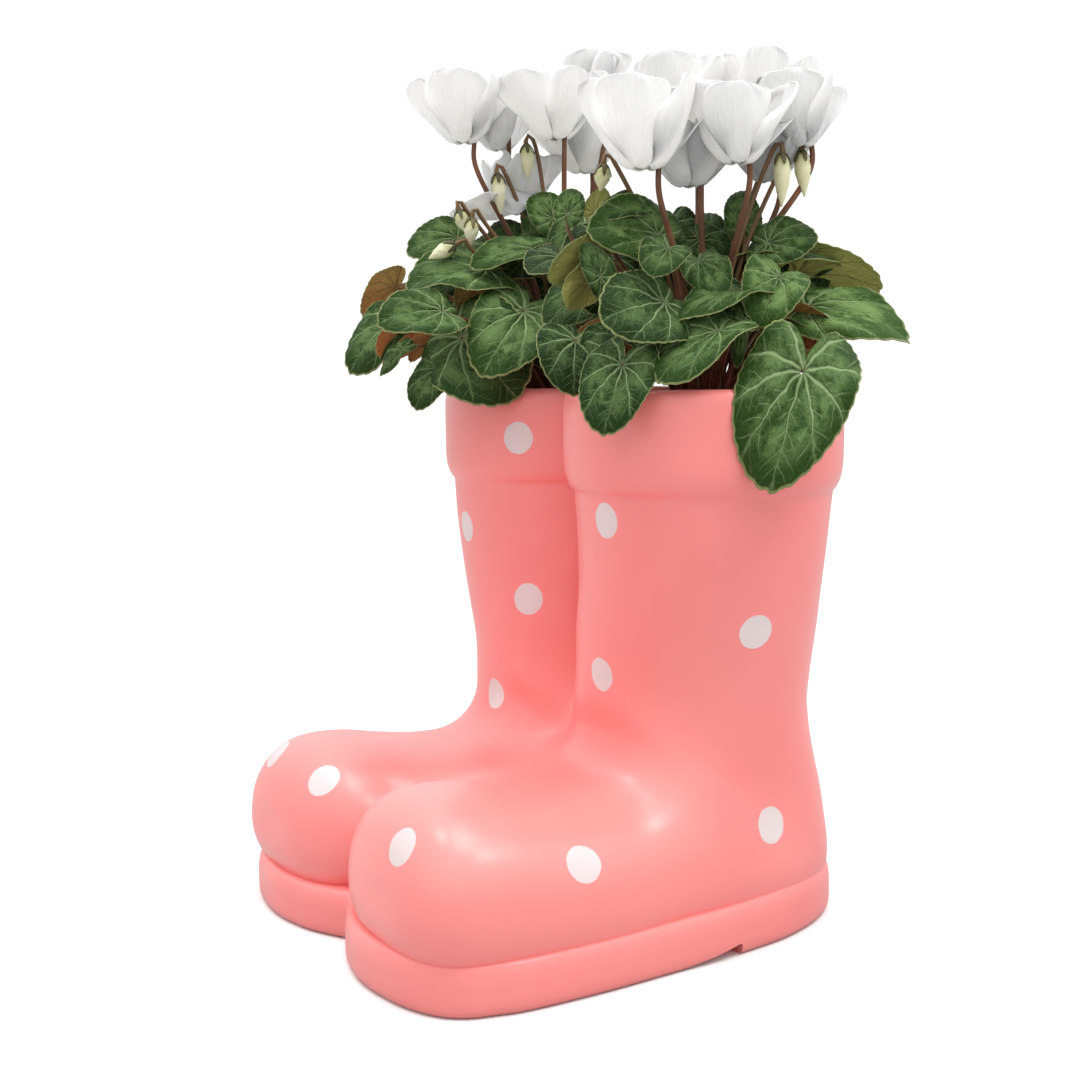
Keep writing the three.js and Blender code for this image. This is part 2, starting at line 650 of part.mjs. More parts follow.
const plan = [
  ...LEAVES.map((leaf) => ({ kind: "leaf", spec: leaf, outer: bladeBody, stem: petioleBody })),
  ...FLOWERS.map((flower) => ({ kind: "flower", spec: flower, outer: petalsBody, stem: flowerStalkBody })),
  ...BUDS.map((bud) => ({ kind: "bud", spec: bud, outer: budBody, stem: budStalkBody })),
];
const grownStems = plan.map(({ spec, stem }) => stem(spec, FIT_GAP));
const grownOuters = plan.map(({ spec, outer }) => outer(spec, FIT_GAP));

function grown(index) {
  const { spec, outer, stem } = plan[index];
  const otherStems = grownStems.filter((_, i) => i !== index);
  const earlier = grownOuters.filter((_, i) => i < index);
  const body = clearOf(outer(spec, 0), [...otherStems, ...earlier]);
  return largest(body.add(stem(spec, 0)));
}

const group = new THREE.Group();
const looks = {
  glaze: material(0xfb8f8b, 0.3),
  soil: material(0x2b1d14, 0.95),
  tuber: material(0x4a3424, 0.85),
  leaf: material(0x3f6a33, 0.45),
  flower: material(0xf3f1ea, 0.55),
  bud: material(0xe6e3b0, 0.5),
};

function place(name, body, look) {
  const mesh = new THREE.Mesh(geometryOf(body), looks[look].clone());
  mesh.name = name;
  group.add(mesh);
}

place("boots_planter", planter(), "glaze");
place("soil_near", soilBody(), "soil");
place("soil_far", mirrored(soilBody()), "soil");
place("tuber_near", tuberBody(0), "tuber");
place("tuber_far", mirrored(tuberBody(0)), "tuber");
const counts = {};
plan.forEach(({ kind, spec }, index) => {
  const key = `${kind}_${spec.plant}`;
  counts[key] = (counts[key] ?? 0) + 1;
  place(`${key}_${String(counts[key]).padStart(2, "0")}`, grown(index), kind);
});

export default group;
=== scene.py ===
"""Two potted miniature cyclamen in a one-piece planter shaped like a pair of rain boots.

Shapes are worked out in millimetres in the frame of the CAD model: +Z up, the toes toward -Y and
the two boots mirrored about X = 0. piece() turns them to metres.
"""
import math

import bmesh
import bpy
import numpy as np
from mathutils import Matrix


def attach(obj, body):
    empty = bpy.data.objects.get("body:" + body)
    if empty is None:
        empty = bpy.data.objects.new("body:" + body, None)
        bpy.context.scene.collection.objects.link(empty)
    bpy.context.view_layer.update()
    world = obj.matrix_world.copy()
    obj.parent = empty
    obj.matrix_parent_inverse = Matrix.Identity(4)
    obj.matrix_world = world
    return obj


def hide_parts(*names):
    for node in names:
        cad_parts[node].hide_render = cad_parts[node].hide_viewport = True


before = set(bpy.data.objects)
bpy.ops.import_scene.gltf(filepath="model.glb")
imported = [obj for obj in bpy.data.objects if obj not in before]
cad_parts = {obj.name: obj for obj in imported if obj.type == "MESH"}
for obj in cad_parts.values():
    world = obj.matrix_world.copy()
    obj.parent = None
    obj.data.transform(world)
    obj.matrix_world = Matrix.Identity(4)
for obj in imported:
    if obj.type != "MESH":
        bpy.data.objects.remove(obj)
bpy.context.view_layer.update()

MM = 0.001
SHAFT_X, SHAFT_Y = 58.5, 3.0
SHAFT_HALF_X, SHAFT_HALF_Y = 58.0, 55.8
SOLE_THICK = 22.0
SOIL_TOP = 228.0
SOIL_INSET = 6.6
SOIL_PLUG = (218, 207)  # heights of the two rings below the soil's edge
TUBER_TOP = 237.0
TUBER_RADIUS = 19.0
TURN = 2 * math.pi
PLANT_X = {"near": SHAFT_X, "far": -SHAFT_X}


# ---- arrays ----

def ease(x):
    """Goes smoothly from 0 to 1 as x does."""
    x = np.clip(x, 0.0, 1.0)
    return x * x * (3.0 - 2.0 * x)


def unit(v):
    """The vectors at length 1."""
    v = np.asarray(v, float)
    return v / np.maximum(np.linalg.norm(v, axis=-1, keepdims=True), 1e-12)


def run_along(points):
    """How far along the line through the points each of them lies."""
    return np.concatenate([[0], np.cumsum(np.linalg.norm(np.diff(points, axis=0), axis=1))])


def through(xs, ys, x, first_slope=None):
    """Smooth curve through the points (xs, ys) at x: cubic between neighbours, with the slope at
    each point taken from the points on both sides of it, or given for the first one."""
    xs, ys = np.asarray(xs, float), np.asarray(ys, float)
    slope = np.gradient(ys, xs, axis=0)
    if first_slope is not None:
        slope[0] = first_slope
    i = np.clip(np.searchsorted(xs, x, side="right") - 1, 0, len(xs) - 2)
    width = xs[i + 1] - xs[i]
    f = (x - xs[i]) / width
    if ys.ndim > 1:
        f, width = f[..., None], width[..., None]
    start = ys[i] * (1 + 2 * f) * (1 - f) ** 2 + slope[i] * width * f * (1 - f) ** 2
    return start + ys[i + 1] * f * f * (3 - 2 * f) - slope[i + 1] * width * f * f * (1 - f)


def ripple(points, scale, seed, octaves=3):
    """Smooth noise near -1 to 1: sums of sines along random directions, each octave half as long
    and half as strong as the one before."""
    rng = np.random.default_rng(seed)
    total = np.zeros(points.shape[:-1])
    for octave in range(octaves):
        directions = unit(rng.normal(size=(5, 3))) * rng.uniform(0.7, 1.3, (5, 1))
        phases = rng.uniform(0, TURN, 5)
        waves = np.sin(points @ directions.T * (TURN / scale * 2**octave) + phases)
        total += waves.sum(-1) * 0.5**octave / 4
    return total


# ---- closed bodies ----

class Body:
    """A closed mesh in millimetres: points, faces, the number of its material in its piece, two
    numbers per point for the UV map, and named numbers per point."""

    def __init__(self, points, faces, look=0, flat=None, **values):
        self.points, self.faces, self.look = points, faces, look
        self.flat = np.zeros((len(points), 2)) if flat is None else flat
        self.values = {k: np.broadcast_to(v, len(points)) for k, v in values.items()}


def grid_faces(rows, columns, closed):
    """Quads between neighbouring rows; with closed, the last column joins the first."""
    across = columns if closed else columns - 1
    r, c = np.meshgrid(np.arange(rows - 1), np.arange(across), indexing="ij")
    right = (c + 1) % columns
    low, high = r * columns, (r + 1) * columns
    return np.stack([low + c, low + right, high + right, high + c], -1).reshape(-1, 4)


def loft(rings, look=0, flat=None, **values):
    """Closed body through rings of equal length, each end closed by a fan to its middle."""
    rings = np.asarray(rings, float)
    count, sides = rings.shape[:2]
    points = np.vstack([rings.reshape(-1, 3), rings[0].mean(0), rings[-1].mean(0)])
    first = np.arange(sides)
    after = (first + 1) % sides
    base = (count - 1) * sides
    quads = grid_faces(count, sides, True)
    fans = [np.stack([after, first, np.full(sides, count * sides)], -1),
            np.stack([base + first, base + after, np.full(sides, count * sides + 1)], -1)]
    halves = np.vstack([quads[:, :3], quads[:, [0, 2, 3]], *fans])
    a, b, c = (points[halves[:, k]] for k in range(3))
    faces = quads.tolist() + fans[0].tolist() + fans[1].tolist()
    if np.einsum("ij,ij->", a, np.cross(b, c)) < 0:
        faces = [face[::-1] for face in faces]
    if flat is not None:
        flat = np.vstack([flat, flat[:1], flat[-1:]])
    return Body(points, faces, look, flat, **values)


def swept(path, radii, sides=8, look=0, ridges=0.0, **values):
    """Round body along a path: circles of the given radii carried along it without twisting. With
    ridges, five shallow ridges run along it. The UV map holds the length run and the turn."""
    path = np.asarray(path, float)
    radii = np.broadcast_to(radii, len(path))
    along = unit(np.gradient(path, axis=0))
    across = np.cross(along[0], [0.31, 0.52, 0.79])
    angle = np.linspace(0, TURN, sides, endpoint=False)[:, None]
    rings = []
    for centre, direction, radius in zip(path, along, radii):
        across = unit(across - direction * (across @ direction))
        side = np.cross(direction, across)
        r = radius * (1 + ridges * np.cos(5 * angle))
        rings.append(centre + r * (np.cos(angle) * across + np.sin(angle) * side))
    run = run_along(path)
    flat = np.stack([np.repeat(run, sides), np.tile(angle[:, 0] / TURN, len(path))], -1)
    return loft(rings, look, flat, **values)


def sheet(grid, thickness, closed=False, look=0, flat=None, **values):
    """Closed sheet about a grid of points: both faces are the grid moved half the thickness along
    its normals, and strips join them round the edge. The value side is 0 on the first face and 1
    on the second."""
    rows, columns = grid.shape[:2]
    down = np.gradient(grid, axis=0)
    if closed:
        over = np.roll(grid, -1, 1) - np.roll(grid, 1, 1)
    else:
        over = np.gradient(grid, axis=1)
    half_thick = np.broadcast_to(thickness, (rows, columns))[..., None] / 2
    offset = unit(np.cross(over, down)) * half_thick
    points = np.vstack([(grid + offset).reshape(-1, 3), (grid - offset).reshape(-1, 3)])
    half = rows * columns
    quads = grid_faces(rows, columns, closed)
    faces = quads.tolist() + (quads[:, ::-1] + half).tolist()
    index = np.arange(half).reshape(rows, columns)
    if closed:
        edges = [np.append(index[-1], index[-1, 0]), np.append(index[0], index[0, 0])[::-1]]
    else:
        edges = [np.concatenate([index[-1], index[-2::-1, -1], index[0, -2::-1], index[1:, 0]])]
    for edge in edges:
        a, b = edge[:-1], edge[1:]
        faces += np.stack([a, b, b + half, a + half], -1).tolist()
    twice = {k: np.tile(np.broadcast_to(v, (rows, columns)).ravel(), 2) for k, v in values.items()}
    flat = None if flat is None else np.tile(flat.reshape(-1, 2), (2, 1))
    return Body(points, faces, look, flat, side=np.repeat([0.0, 1.0], half), **twice)


def piece(name, bodies, looks, stands_for=(), weld=0.0):
    """Makes one object of closed bodies and ties it to the frame: it rides on the root, takes its
    materials from the looks given and stands for the CAD nodes named."""
    points = np.vstack([b.points for b in bodies])
    starts = np.cumsum([0] + [len(b.points) for b in bodies])
    faces = [[i + start for i in face] for b, start in zip(bodies, starts) for face in b.faces]
    mesh = bpy.data.meshes.new(name)
    mesh.from_pydata((points * MM).tolist(), [], faces)
    for look in looks:
        mesh.materials.append(look)
    kinds = np.repeat([b.look for b in bodies], [len(b.faces) for b in bodies]).astype(np.int32)
    mesh.polygons.foreach_set("material_index", kinds)
    for key in sorted({key for b in bodies for key in b.values}):
        numbers = [b.values.get(key, np.zeros(len(b.points))) for b in bodies]
        made = mesh.attributes.new(key, "FLOAT", "POINT")
        made.data.foreach_set("value", np.concatenate(numbers).astype(np.float32))
    corners = np.zeros(len(mesh.loops), np.int32)
    mesh.loops.foreach_get("vertex_index", corners)
    layer = mesh.uv_layers.new(name="UVMap")
    flat = np.vstack([b.flat for b in bodies]).astype(np.float32)
    layer.data.foreach_set("uv", flat[corners].ravel())
    if weld:
        merge_close(mesh, weld)
    mesh.polygons.foreach_set("use_smooth", np.ones(len(mesh.polygons), bool))
    mesh.update()
    made = bpy.data.objects.new(name, mesh)
    bpy.context.scene.collection.objects.link(made)
    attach(made, "root")
    if stands_for:
        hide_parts(*stands_for)
    return made


def merge_close(mesh, distance):
    """Merges points closer than distance millimetres and turns all faces outward."""
    work = bmesh.new()
    work.from_mesh(mesh)
    bmesh.ops.remove_doubles(work, verts=work.verts, dist=distance * MM)
    bmesh.ops.recalc_face_normals(work, faces=work.faces)
    work.to_mesh(mesh)
    work.free()


# ---- material nodes ----

class Nodes:
    """Short ways to add and join nodes in one tree."""

    def __init__(self, tree):
        self.tree = tree

    def add(self, kind, **settings):
        node = self.tree.nodes.new("ShaderNode" + kind)
        for key, value in settings.items():
            setattr(node, key, value)
        return node

    def feed(self, socket, value):
        """Links a socket to the input, or sets the input to a plain value."""
        if isinstance(value, bpy.types.NodeSocket):
            self.tree.links.new(value, socket)
        elif value is not None:
            socket.default_value = value

    def math(self, operation, a, b=None, c=None):
        node = self.add("Math", operation=operation)
        for socket, value in zip(node.inputs, (a, b, c)):
            self.feed(socket, value)
        return node.outputs[0]

    def vector(self, operation, a, b=None, scale=None):
        node = self.add("VectorMath", operation=operation)
        for socket, value in ((node.inputs[0], a), (node.inputs[1], b), (node.inputs[3], scale)):
            self.feed(socket, value)
        return node.outputs["Value" if operation in ("DISTANCE", "LENGTH") else "Vector"]

    def ramp(self, value, low, high, to_low=0.0, to_high=1.0):
        """Smooth step from one level to another as value goes from low to high."""
        node = self.add("MapRange", interpolation_type="SMOOTHSTEP")
        for socket, number in zip(node.inputs, (value, low, high, to_low, to_high)):
            self.feed(socket, number)
        return node.outputs[0]

    def mix(self, share, a, b):
        node = self.add("Mix", data_type="RGBA")
        for socket, value in ((node.inputs[0], share), (node.inputs[6], a), (node.inputs[7], b)):
            self.feed(socket, value)
        return node.outputs[2]

    def noise(self, vector, scale, detail=3.0, roughness=0.55):
        node = self.add("TexNoise")
        for key, value in (("Vector", vector), ("Scale", scale), ("Detail", detail),
                           ("Roughness", roughness)):
            self.feed(node.inputs[key], value)
        return node.outputs[0]

    def cells(self, vector, scale, feature="F1"):
        node = self.add("TexVoronoi", feature=feature)
        self.feed(node.inputs["Vector"], vector)
        self.feed(node.inputs["Scale"], scale)
        return node.outputs

    def attribute(self, name):
        return self.add("Attribute", attribute_name=name).outputs["Fac"]

    def position(self):
        return self.add("TexCoord").outputs["Object"]

    def uv(self):
        return self.add("UVMap", uv_map="UVMap").outputs["UV"]

    def bump(self, height, distance, strength=1.0, normal=None):
        node = self.add("Bump")
        for key, value in (("Strength", strength), ("Distance", distance), ("Height", height),
                           ("Normal", normal)):
            self.feed(node.inputs[key], value)
        return node.outputs["Normal"]

    def group(self, tree, **values):
        node = self.add("Group", node_tree=tree)
        for key, value in values.items():
            self.feed(node.inputs[key], value)
        return node.outputs


def new_look(name, **constants):
    """An empty material, its nodes and its shader, with plain values set on the shader."""
    look = bpy.data.materials.new(name)
    look.use_nodes = True
    shader = look.node_tree.nodes["Principled BSDF"]
    for key, value in constants.items():
        shader.inputs[key.replace("_", " ")].default_value = value
    return look, Nodes(look.node_tree), shader.inputs


def new_group(name, inputs, outputs):
    """A node group with named inputs (kind) and outputs (kind): its tree, nodes, ends."""
    tree = bpy.data.node_groups.new(name, "ShaderNodeTree")
    for label, kind in inputs.items():
        tree.interface.new_socket(label, in_out="INPUT", socket_type="NodeSocket" + kind)
    for label, kind in outputs.items():
        tree.interface.new_socket(label, in_out="OUTPUT", socket_type="NodeSocket" + kind)
    given = tree.nodes.new("NodeGroupInput").outputs
    result = tree.nodes.new("NodeGroupOutput").inputs
    return tree, Nodes(tree), given, result


def grain_group():
    """Fine uneven grain: a bump height of two noises, and a patchy mask of a slow noise."""
    tree, n, given, result = new_group(
        "fine_grain", {"Position": "Vector", "Scale": "Float"},
        {"Height": "Float", "Patches": "Float"})
    fine = n.noise(given["Position"], given["Scale"], 4.0, 0.6)
    coarse = n.noise(given["Position"], n.math("MULTIPLY", given["Scale"], 0.08), 3.0, 0.5)
    n.feed(result["Height"], n.math("MULTIPLY_ADD", coarse, 0.8, n.math("MULTIPLY", fine, 0.4)))
    n.feed(result["Patches"], n.ramp(coarse, 0.35, 0.68))
    return tree


GRAIN = grain_group()


# White dots on the planter, in millimetres: middle on the surface, and radius.
DOTS = [
    (-21.1, -45.6, 217.4, 7.4), (-22.6, -41.0, 141.4, 7.5), (-46.9, -46.4, 92.2, 7.5),
    (-27.0, -145.0, 67.7, 8.0), (74.5, -152.9, 64.1, 8.0), (65.1, -51.4, 185.7, 7.5),
    (55.6, -48.6, 118.3, 7.4), (107.4, -4.3, 139.7, 7.6), (107.7, -89.3, 54.6, 7.9),
    (101.1, 9.0, 52.6, 8.1), (-65.8, -50.9, 173.1, 7.5), (-77.7, -147.8, 70.0, 7.8),
    (-104.7, -1.0, 128.5, 7.6), (-99.7, 16.2, 53.8, 7.6), (-110.9, -83.2, 46.1, 7.6),
    (-108.8, -9.3, 215.4, 7.6), (-85.7, -35.3, 89.3, 7.6), (59.1, 55.4, 171.4, 7.6),
    (44.3, 58.6, 64.7, 7.6), (85.8, 41.3, 106.5, 7.6), (90.1, 42.8, 218.0, 7.6),
    (-59.1, 57.8, 189.0, 7.6), (-38.2, 49.8, 121.2, 7.6), (-78.7, 54.3, 59.2, 7.6),
    (-32.2, 57.9, 216.7, 7.6), (-100.0, 37.6, 167.9, 7.6), (-101.6, -128.8, 65.7, 7.6),
]

# Unevenness of a dot's outline and half the width of its soft edge, in metres.
DOT_WOBBLE, DOT_EDGE = 0.0007, 0.00022


def glaze_look():
    """Satin salmon-pink paint with white dots: a point is white where it is nearer to the middle of
    a dot than its radius, with a little noise that makes the edge hand-painted."""
    look, n, shader = new_look("satin_pink_glaze", Coat_Weight=0.5, Coat_Roughness=0.27,
                               Specular_IOR_Level=0.45)
    place = n.position()
    grain = n.group(GRAIN, Position=place, Scale=260.0)
    gap = 1.0
    for x, y, z, radius in DOTS:
        away = n.vector("DISTANCE", place, (x * MM, y * MM, z * MM))
        gap = n.math("MINIMUM", n.math("SUBTRACT", away, radius * MM), gap)
    wobble = n.noise(place, 320.0, 2.0)
    gap = n.math("MULTIPLY_ADD", wobble, DOT_WOBBLE, n.math("SUBTRACT", gap, DOT_WOBBLE / 2))
    dot = n.ramp(gap, -DOT_EDGE, DOT_EDGE, 1.0, 0.0)
    pink = n.mix(grain["Patches"], (0.875, 0.218, 0.208, 1), (0.905, 0.243, 0.232, 1))
    slow = n.noise(place, 9.0, 2.0)
    pink = n.mix(n.ramp(slow, 0.3, 0.75), pink, (0.92, 0.265, 0.245, 1))
    cell = n.cells(place, 42.0)
    rare = n.math("LESS_THAN", n.math("FRACT", n.math("MULTIPLY", cell["Color"], 7.31)), 0.035)
    speck = n.math("MULTIPLY", rare, n.ramp(cell["Distance"], 0.012, 0.03, 1.0, 0.0))
    pink = n.mix(n.math("MULTIPLY", speck, 0.75), pink, (0.16, 0.03, 0.02, 1))
    white = n.mix(grain["Patches"], (0.69, 0.57, 0.575, 1), (0.76, 0.65, 0.65, 1))
    n.feed(shader["Base Color"], n.mix(dot, pink, white))
    rough = n.ramp(grain["Patches"], 0.0, 1.0, 0.36, 0.43)
    n.feed(shader["Roughness"], n.math("MULTIPLY_ADD", dot, 0.08, rough))
    height = n.math("MULTIPLY_ADD", dot, 0.5, n.math("MULTIPLY", grain["Height"], 0.35))
    n.feed(shader["Normal"], n.bump(height, 0.00022, 0.6))
    return look


def marbling_group():
    """Veins and silver marbling of a cyclamen leaf, from its own plane: x runs from the junction
    to the tip in leaf lengths and y across. Main veins fan out at even angles and curve toward
    the tip; side veins leave them at a slant; a fine net fills the rest."""
    tree, n, given, result = new_group(
        "leaf_marbling", {"Plane": "Vector", "Rim": "Float", "Tone": "Float"},
        {"Veins": "Float", "Silver": "Float", "Height": "Float"})
    seed = n.add("CombineXYZ")
    n.feed(seed.inputs[2], n.math("MULTIPLY", given["Tone"], 9.0))
    seeded = n.vector("ADD", given["Plane"], seed.outputs[0])
    wander = n.add("TexNoise")
    n.feed(wander.inputs["Vector"], seeded)
    n.feed(wander.inputs["Scale"], 5.5)
    n.feed(wander.inputs["Detail"], 2.0)
    swirl = n.vector("SUBTRACT", wander.outputs["Color"], (0.5, 0.5, 0.5))
    pushed = n.vector("SCALE", swirl, scale=0.085)
    plane = n.vector("ADD", given["Plane"], pushed)
    parts = n.add("SeparateXYZ")
    n.feed(parts.inputs[0], plane)
    side = n.math("ABSOLUTE", parts.outputs[1])
    reach = n.math("SQRT", n.math("ADD", n.math("MULTIPLY", side, side),
                                  n.math("MULTIPLY", parts.outputs[0], parts.outputs[0])))
    angle = n.math("ARCTAN2", side, parts.outputs[0])
    bent = n.math("MULTIPLY_ADD", n.math("MULTIPLY", reach, n.math("SINE", angle)), 0.55, angle)
    turn = n.math("DIVIDE", bent, VEIN_STEP)
    off = n.math("ABSOLUTE", n.math("SUBTRACT", n.math("FRACT", n.math("ADD", turn, 0.5)), 0.5))
    far = n.math("MULTIPLY", n.math("MULTIPLY", off, VEIN_STEP), reach)
    width = n.ramp(reach, 0.0, 0.95, 0.022, 0.005)
    main = n.ramp(far, n.math("MULTIPLY", width, 0.3), n.math("MULTIPLY", width, 1.5), 1.0, 0.0)
    number = n.math("FLOOR", n.math("MULTIPLY", turn, 2.0))
    slant = n.math("SUBTRACT", reach, n.math("MULTIPLY", far, 0.8))
    steps = n.math("ADD", n.math("DIVIDE", slant, 0.135), n.math("MULTIPLY", number, 0.41))
    branch = n.math("ABSOLUTE", n.math("SUBTRACT", n.math("FRACT", steps), 0.5))
    branch = n.ramp(branch, 0.015, 0.1, 0.42, 0.0)
    branch = n.math("MULTIPLY", branch, n.ramp(reach, 0.1, 0.2))
    branch = n.math("MULTIPLY", branch, n.ramp(off, 0.32, 0.5, 1.0, 0.25))
    net = n.cells(plane, 15.0, "DISTANCE_TO_EDGE")["Distance"]
    net = n.ramp(net, 0.0, 0.08, 0.1, 0.0)
    veins = n.math("MAXIMUM", n.math("MAXIMUM", main, branch), net)
    n.feed(result["Veins"], n.math("MULTIPLY", veins, n.ramp(given["Rim"], 0.86, 0.99, 1.0, 0.25)))
    band = n.math("MULTIPLY", n.ramp(given["Rim"], 0.16, 0.42),
                  n.ramp(given["Rim"], 0.62, 0.88, 1.0, 0.0))
    blotch = n.ramp(n.noise(seeded, 5.0, 4.0, 0.62), 0.38, 0.58)
    along_veins = n.ramp(far, n.math("MULTIPLY", width, 1.5), n.math("MULTIPLY", width, 7.0),
                         0.75, 0.0)
    patchy = n.ramp(n.noise(seeded, 11.0, 3.0, 0.6), 0.36, 0.56)
    along_veins = n.math("MULTIPLY", n.math("MULTIPLY", along_veins, patchy),
                         n.ramp(given["Rim"], 0.1, 0.3))
    n.feed(result["Silver"], n.math("MAXIMUM", n.math("MULTIPLY", band, blotch), along_veins))
    swell = n.ramp(off, 0.0, 0.5)
    relief = n.math("SUBTRACT", n.math("MULTIPLY", swell, 0.5), n.math("MULTIPLY", veins, 0.7))
    n.feed(result["Height"], n.math("MULTIPLY_ADD", n.noise(seeded, 26.0, 2.0), 0.5, relief))
    return tree


VEIN_STEP = 0.66
MARBLING = marbling_group()


def leaf_look():
    """Waxy dark leaf with silver marbling and pale veins, and a duller olive or rust underside,
    made lighter than its own colour as painted light shining through the leaf. Values: rim 0 at
    the junction to 1 at the margin, side 0 under and 1 on top, a value for how light or dark the
    leaf is (its own green, made darker as painted shade for leaves that sit in shade), rust how
    red the underside is."""
    look, n, shader = new_look("marbled_leaf", Specular_IOR_Level=0.09)
    marks = n.group(MARBLING, Plane=n.uv(), Rim=n.attribute("rim"), Tone=n.attribute("tone"))
    tone, rim = n.attribute("tone"), n.attribute("rim")
    # Lighter or darker green per leaf: partly each leaf's own green, partly painted shade on leaves
    # that sit in shade.
    top = n.mix(tone, (0.007, 0.022, 0.004, 1), (0.032, 0.082, 0.011, 1))
    silver = n.mix(tone, (0.040, 0.080, 0.024, 1), (0.180, 0.290, 0.092, 1))
    top = n.mix(n.math("MULTIPLY", marks["Silver"], 0.9), top, silver)
    top = n.mix(n.math("MULTIPLY", marks["Veins"], 0.75), top, (0.27, 0.37, 0.175, 1))
    # The underside colours are lighter than the leaf's own underside: painted light shining through
    # the leaf.
    under = n.mix(n.attribute("rust"), (0.33, 0.38, 0.105, 1), (0.47, 0.20, 0.075, 1))
    under = n.mix(n.math("MULTIPLY", marks["Veins"], 0.45), under, (0.32, 0.25, 0.10, 1))
    blade = n.mix(n.ramp(n.attribute("side"), 0.4, 0.6), under, top)
    edge = n.ramp(rim, 0.962, 0.99, 0.0, 0.75)
    n.feed(shader["Base Color"], n.mix(edge, blade, (0.33, 0.36, 0.15, 1)))
    n.feed(shader["Roughness"], n.ramp(marks["Silver"], 0.0, 1.0, 0.38, 0.52))
    n.feed(shader["Normal"], n.bump(marks["Height"], 0.0016, 0.8))
    return look


def stalk_look():
    """Red-brown fleshy stalk: streaks along it, greener toward the top end (value fresh)."""
    look, n, shader = new_look("red_brown_stalk", Specular_IOR_Level=0.4, Roughness=0.48)
    grain = n.group(GRAIN, Position=n.position(), Scale=900.0)
    brown = n.mix(grain["Patches"], (0.105, 0.026, 0.014, 1), (0.20, 0.062, 0.030, 1))
    n.feed(shader["Base Color"], n.mix(n.attribute("fresh"), brown, (0.26, 0.25, 0.09, 1)))
    n.feed(shader["Normal"], n.bump(grain["Height"], 0.0002, 0.5))
    return look


def petal_look():
    """Soft white petal: faint lengthwise veins, a little greener at the throat (UV y along)."""
    look, n, shader = new_look("white_petal", Roughness=0.6, Specular_IOR_Level=0.25,
                               Subsurface_Weight=0.8, Subsurface_Scale=0.004, Sheen_Weight=0.1)
    shader["Subsurface Radius"].default_value = (1.0, 0.95, 0.85)
    parts = n.add("SeparateXYZ")
    n.feed(parts.inputs[0], n.uv())
    stripes = n.add("CombineXYZ")
    n.feed(stripes.inputs[0], n.math("MULTIPLY", parts.outputs[0], 9.0))
    n.feed(stripes.inputs[1], n.math("MULTIPLY", parts.outputs[1], 1.4))
    veins = n.noise(stripes.outputs[0], 2.2, 3.0, 0.6)
    throat = n.ramp(parts.outputs[1], 0.0, 0.16, 0.5, 0.0)
    white = n.mix(veins, (0.76, 0.76, 0.74, 1), (0.85, 0.85, 0.835, 1))
    n.feed(shader["Base Color"], n.mix(throat, white, (0.78, 0.80, 0.60, 1)))
    n.feed(shader["Normal"], n.bump(veins, 0.0012, 0.7))
    return look


def bud_look():
    """Furled bud: cream to greenish yellow, greener toward its calyx (UV x along, 0 at the top)."""
    look, n, shader = new_look("yellow_green_bud", Roughness=0.5, Specular_IOR_Level=0.4)
    parts = n.add("SeparateXYZ")
    n.feed(parts.inputs[0], n.uv())
    grain = n.group(GRAIN, Position=n.position(), Scale=500.0)
    low = n.mix(grain["Patches"], (0.72, 0.70, 0.42, 1), (0.82, 0.80, 0.58, 1))
    green = n.ramp(parts.outputs[0], 0.5, 7.0, 0.8, 0.0)
    n.feed(shader["Base Color"], n.mix(green, low, (0.36, 0.40, 0.12, 1)))
    n.feed(shader["Normal"], n.bump(grain["Height"], 0.0003, 0.5))
    return look


def calyx_look():
    """Small brown-green sepals."""
    look, n, shader = new_look("calyx_green", Roughness=0.6)
    grain = n.group(GRAIN, Position=n.position(), Scale=700.0)
    brown = n.mix(grain["Patches"], (0.06, 0.055, 0.02, 1), (0.13, 0.10, 0.04, 1))
    n.feed(shader["Base Color"], brown)
    n.feed(shader["Normal"], n.bump(grain["Height"], 0.0003, 0.6))
    return look


def soil_look():
    """Dark moist peat with lighter fibres."""
    look, n, shader = new_look("dark_peat", Specular_IOR_Level=0.3)
    place = n.position()
    grain = n.group(GRAIN, Position=place, Scale=420.0)
    dark = n.mix(grain["Patches"], (0.008, 0.005, 0.0035, 1), (0.030, 0.018, 0.011, 1))
    fibre = n.ramp(n.noise(place, 180.0, 5.0, 0.75), 0.62, 0.72)
    dark = n.mix(n.math("MULTIPLY", fibre, 0.6), dark, (0.085, 0.052, 0.030, 1))
    n.feed(shader["Base Color"], dark)
    n.feed(shader["Roughness"], n.ramp(grain["Patches"], 0.0, 1.0, 0.8, 0.95))
    n.feed(shader["Normal"], n.bump(n.noise(place, 600.0, 5.0, 0.7), 0.0012, 0.9))
    return look


def tuber_look():
    """Corky brown skin with cracks."""
    look, n, shader = new_look("corky_tuber", Roughness=0.85, Specular_IOR_Level=0.25)
    place = n.position()
    grain = n.group(GRAIN, Position=place, Scale=350.0)
    crack = n.ramp(n.cells(place, 220.0, "DISTANCE_TO_EDGE")["Distance"], 0.0, 0.12, 1.0, 0.0)
    skin = n.mix(grain["Patches"], (0.055, 0.028, 0.014, 1), (0.115, 0.068, 0.036, 1))
    depth = n.math("MULTIPLY", crack, 0.6)
    n.feed(shader["Base Color"], n.mix(depth, skin, (0.02, 0.011, 0.006, 1)))
    height = n.math("SUBTRACT", grain["Height"], depth)
    n.feed(shader["Normal"], n.bump(height, 0.0012, 0.9))
    return look


LOOKS = {
    "glaze": glaze_look(),
    "leaf": leaf_look(),
    "stalk": stalk_look(),
    "petal": petal_look(),
    "bud": bud_look(),
    "calyx": calyx_look(),
    "soil": soil_look(),
    "tuber": tuber_look(),
}


# ---- planter ----

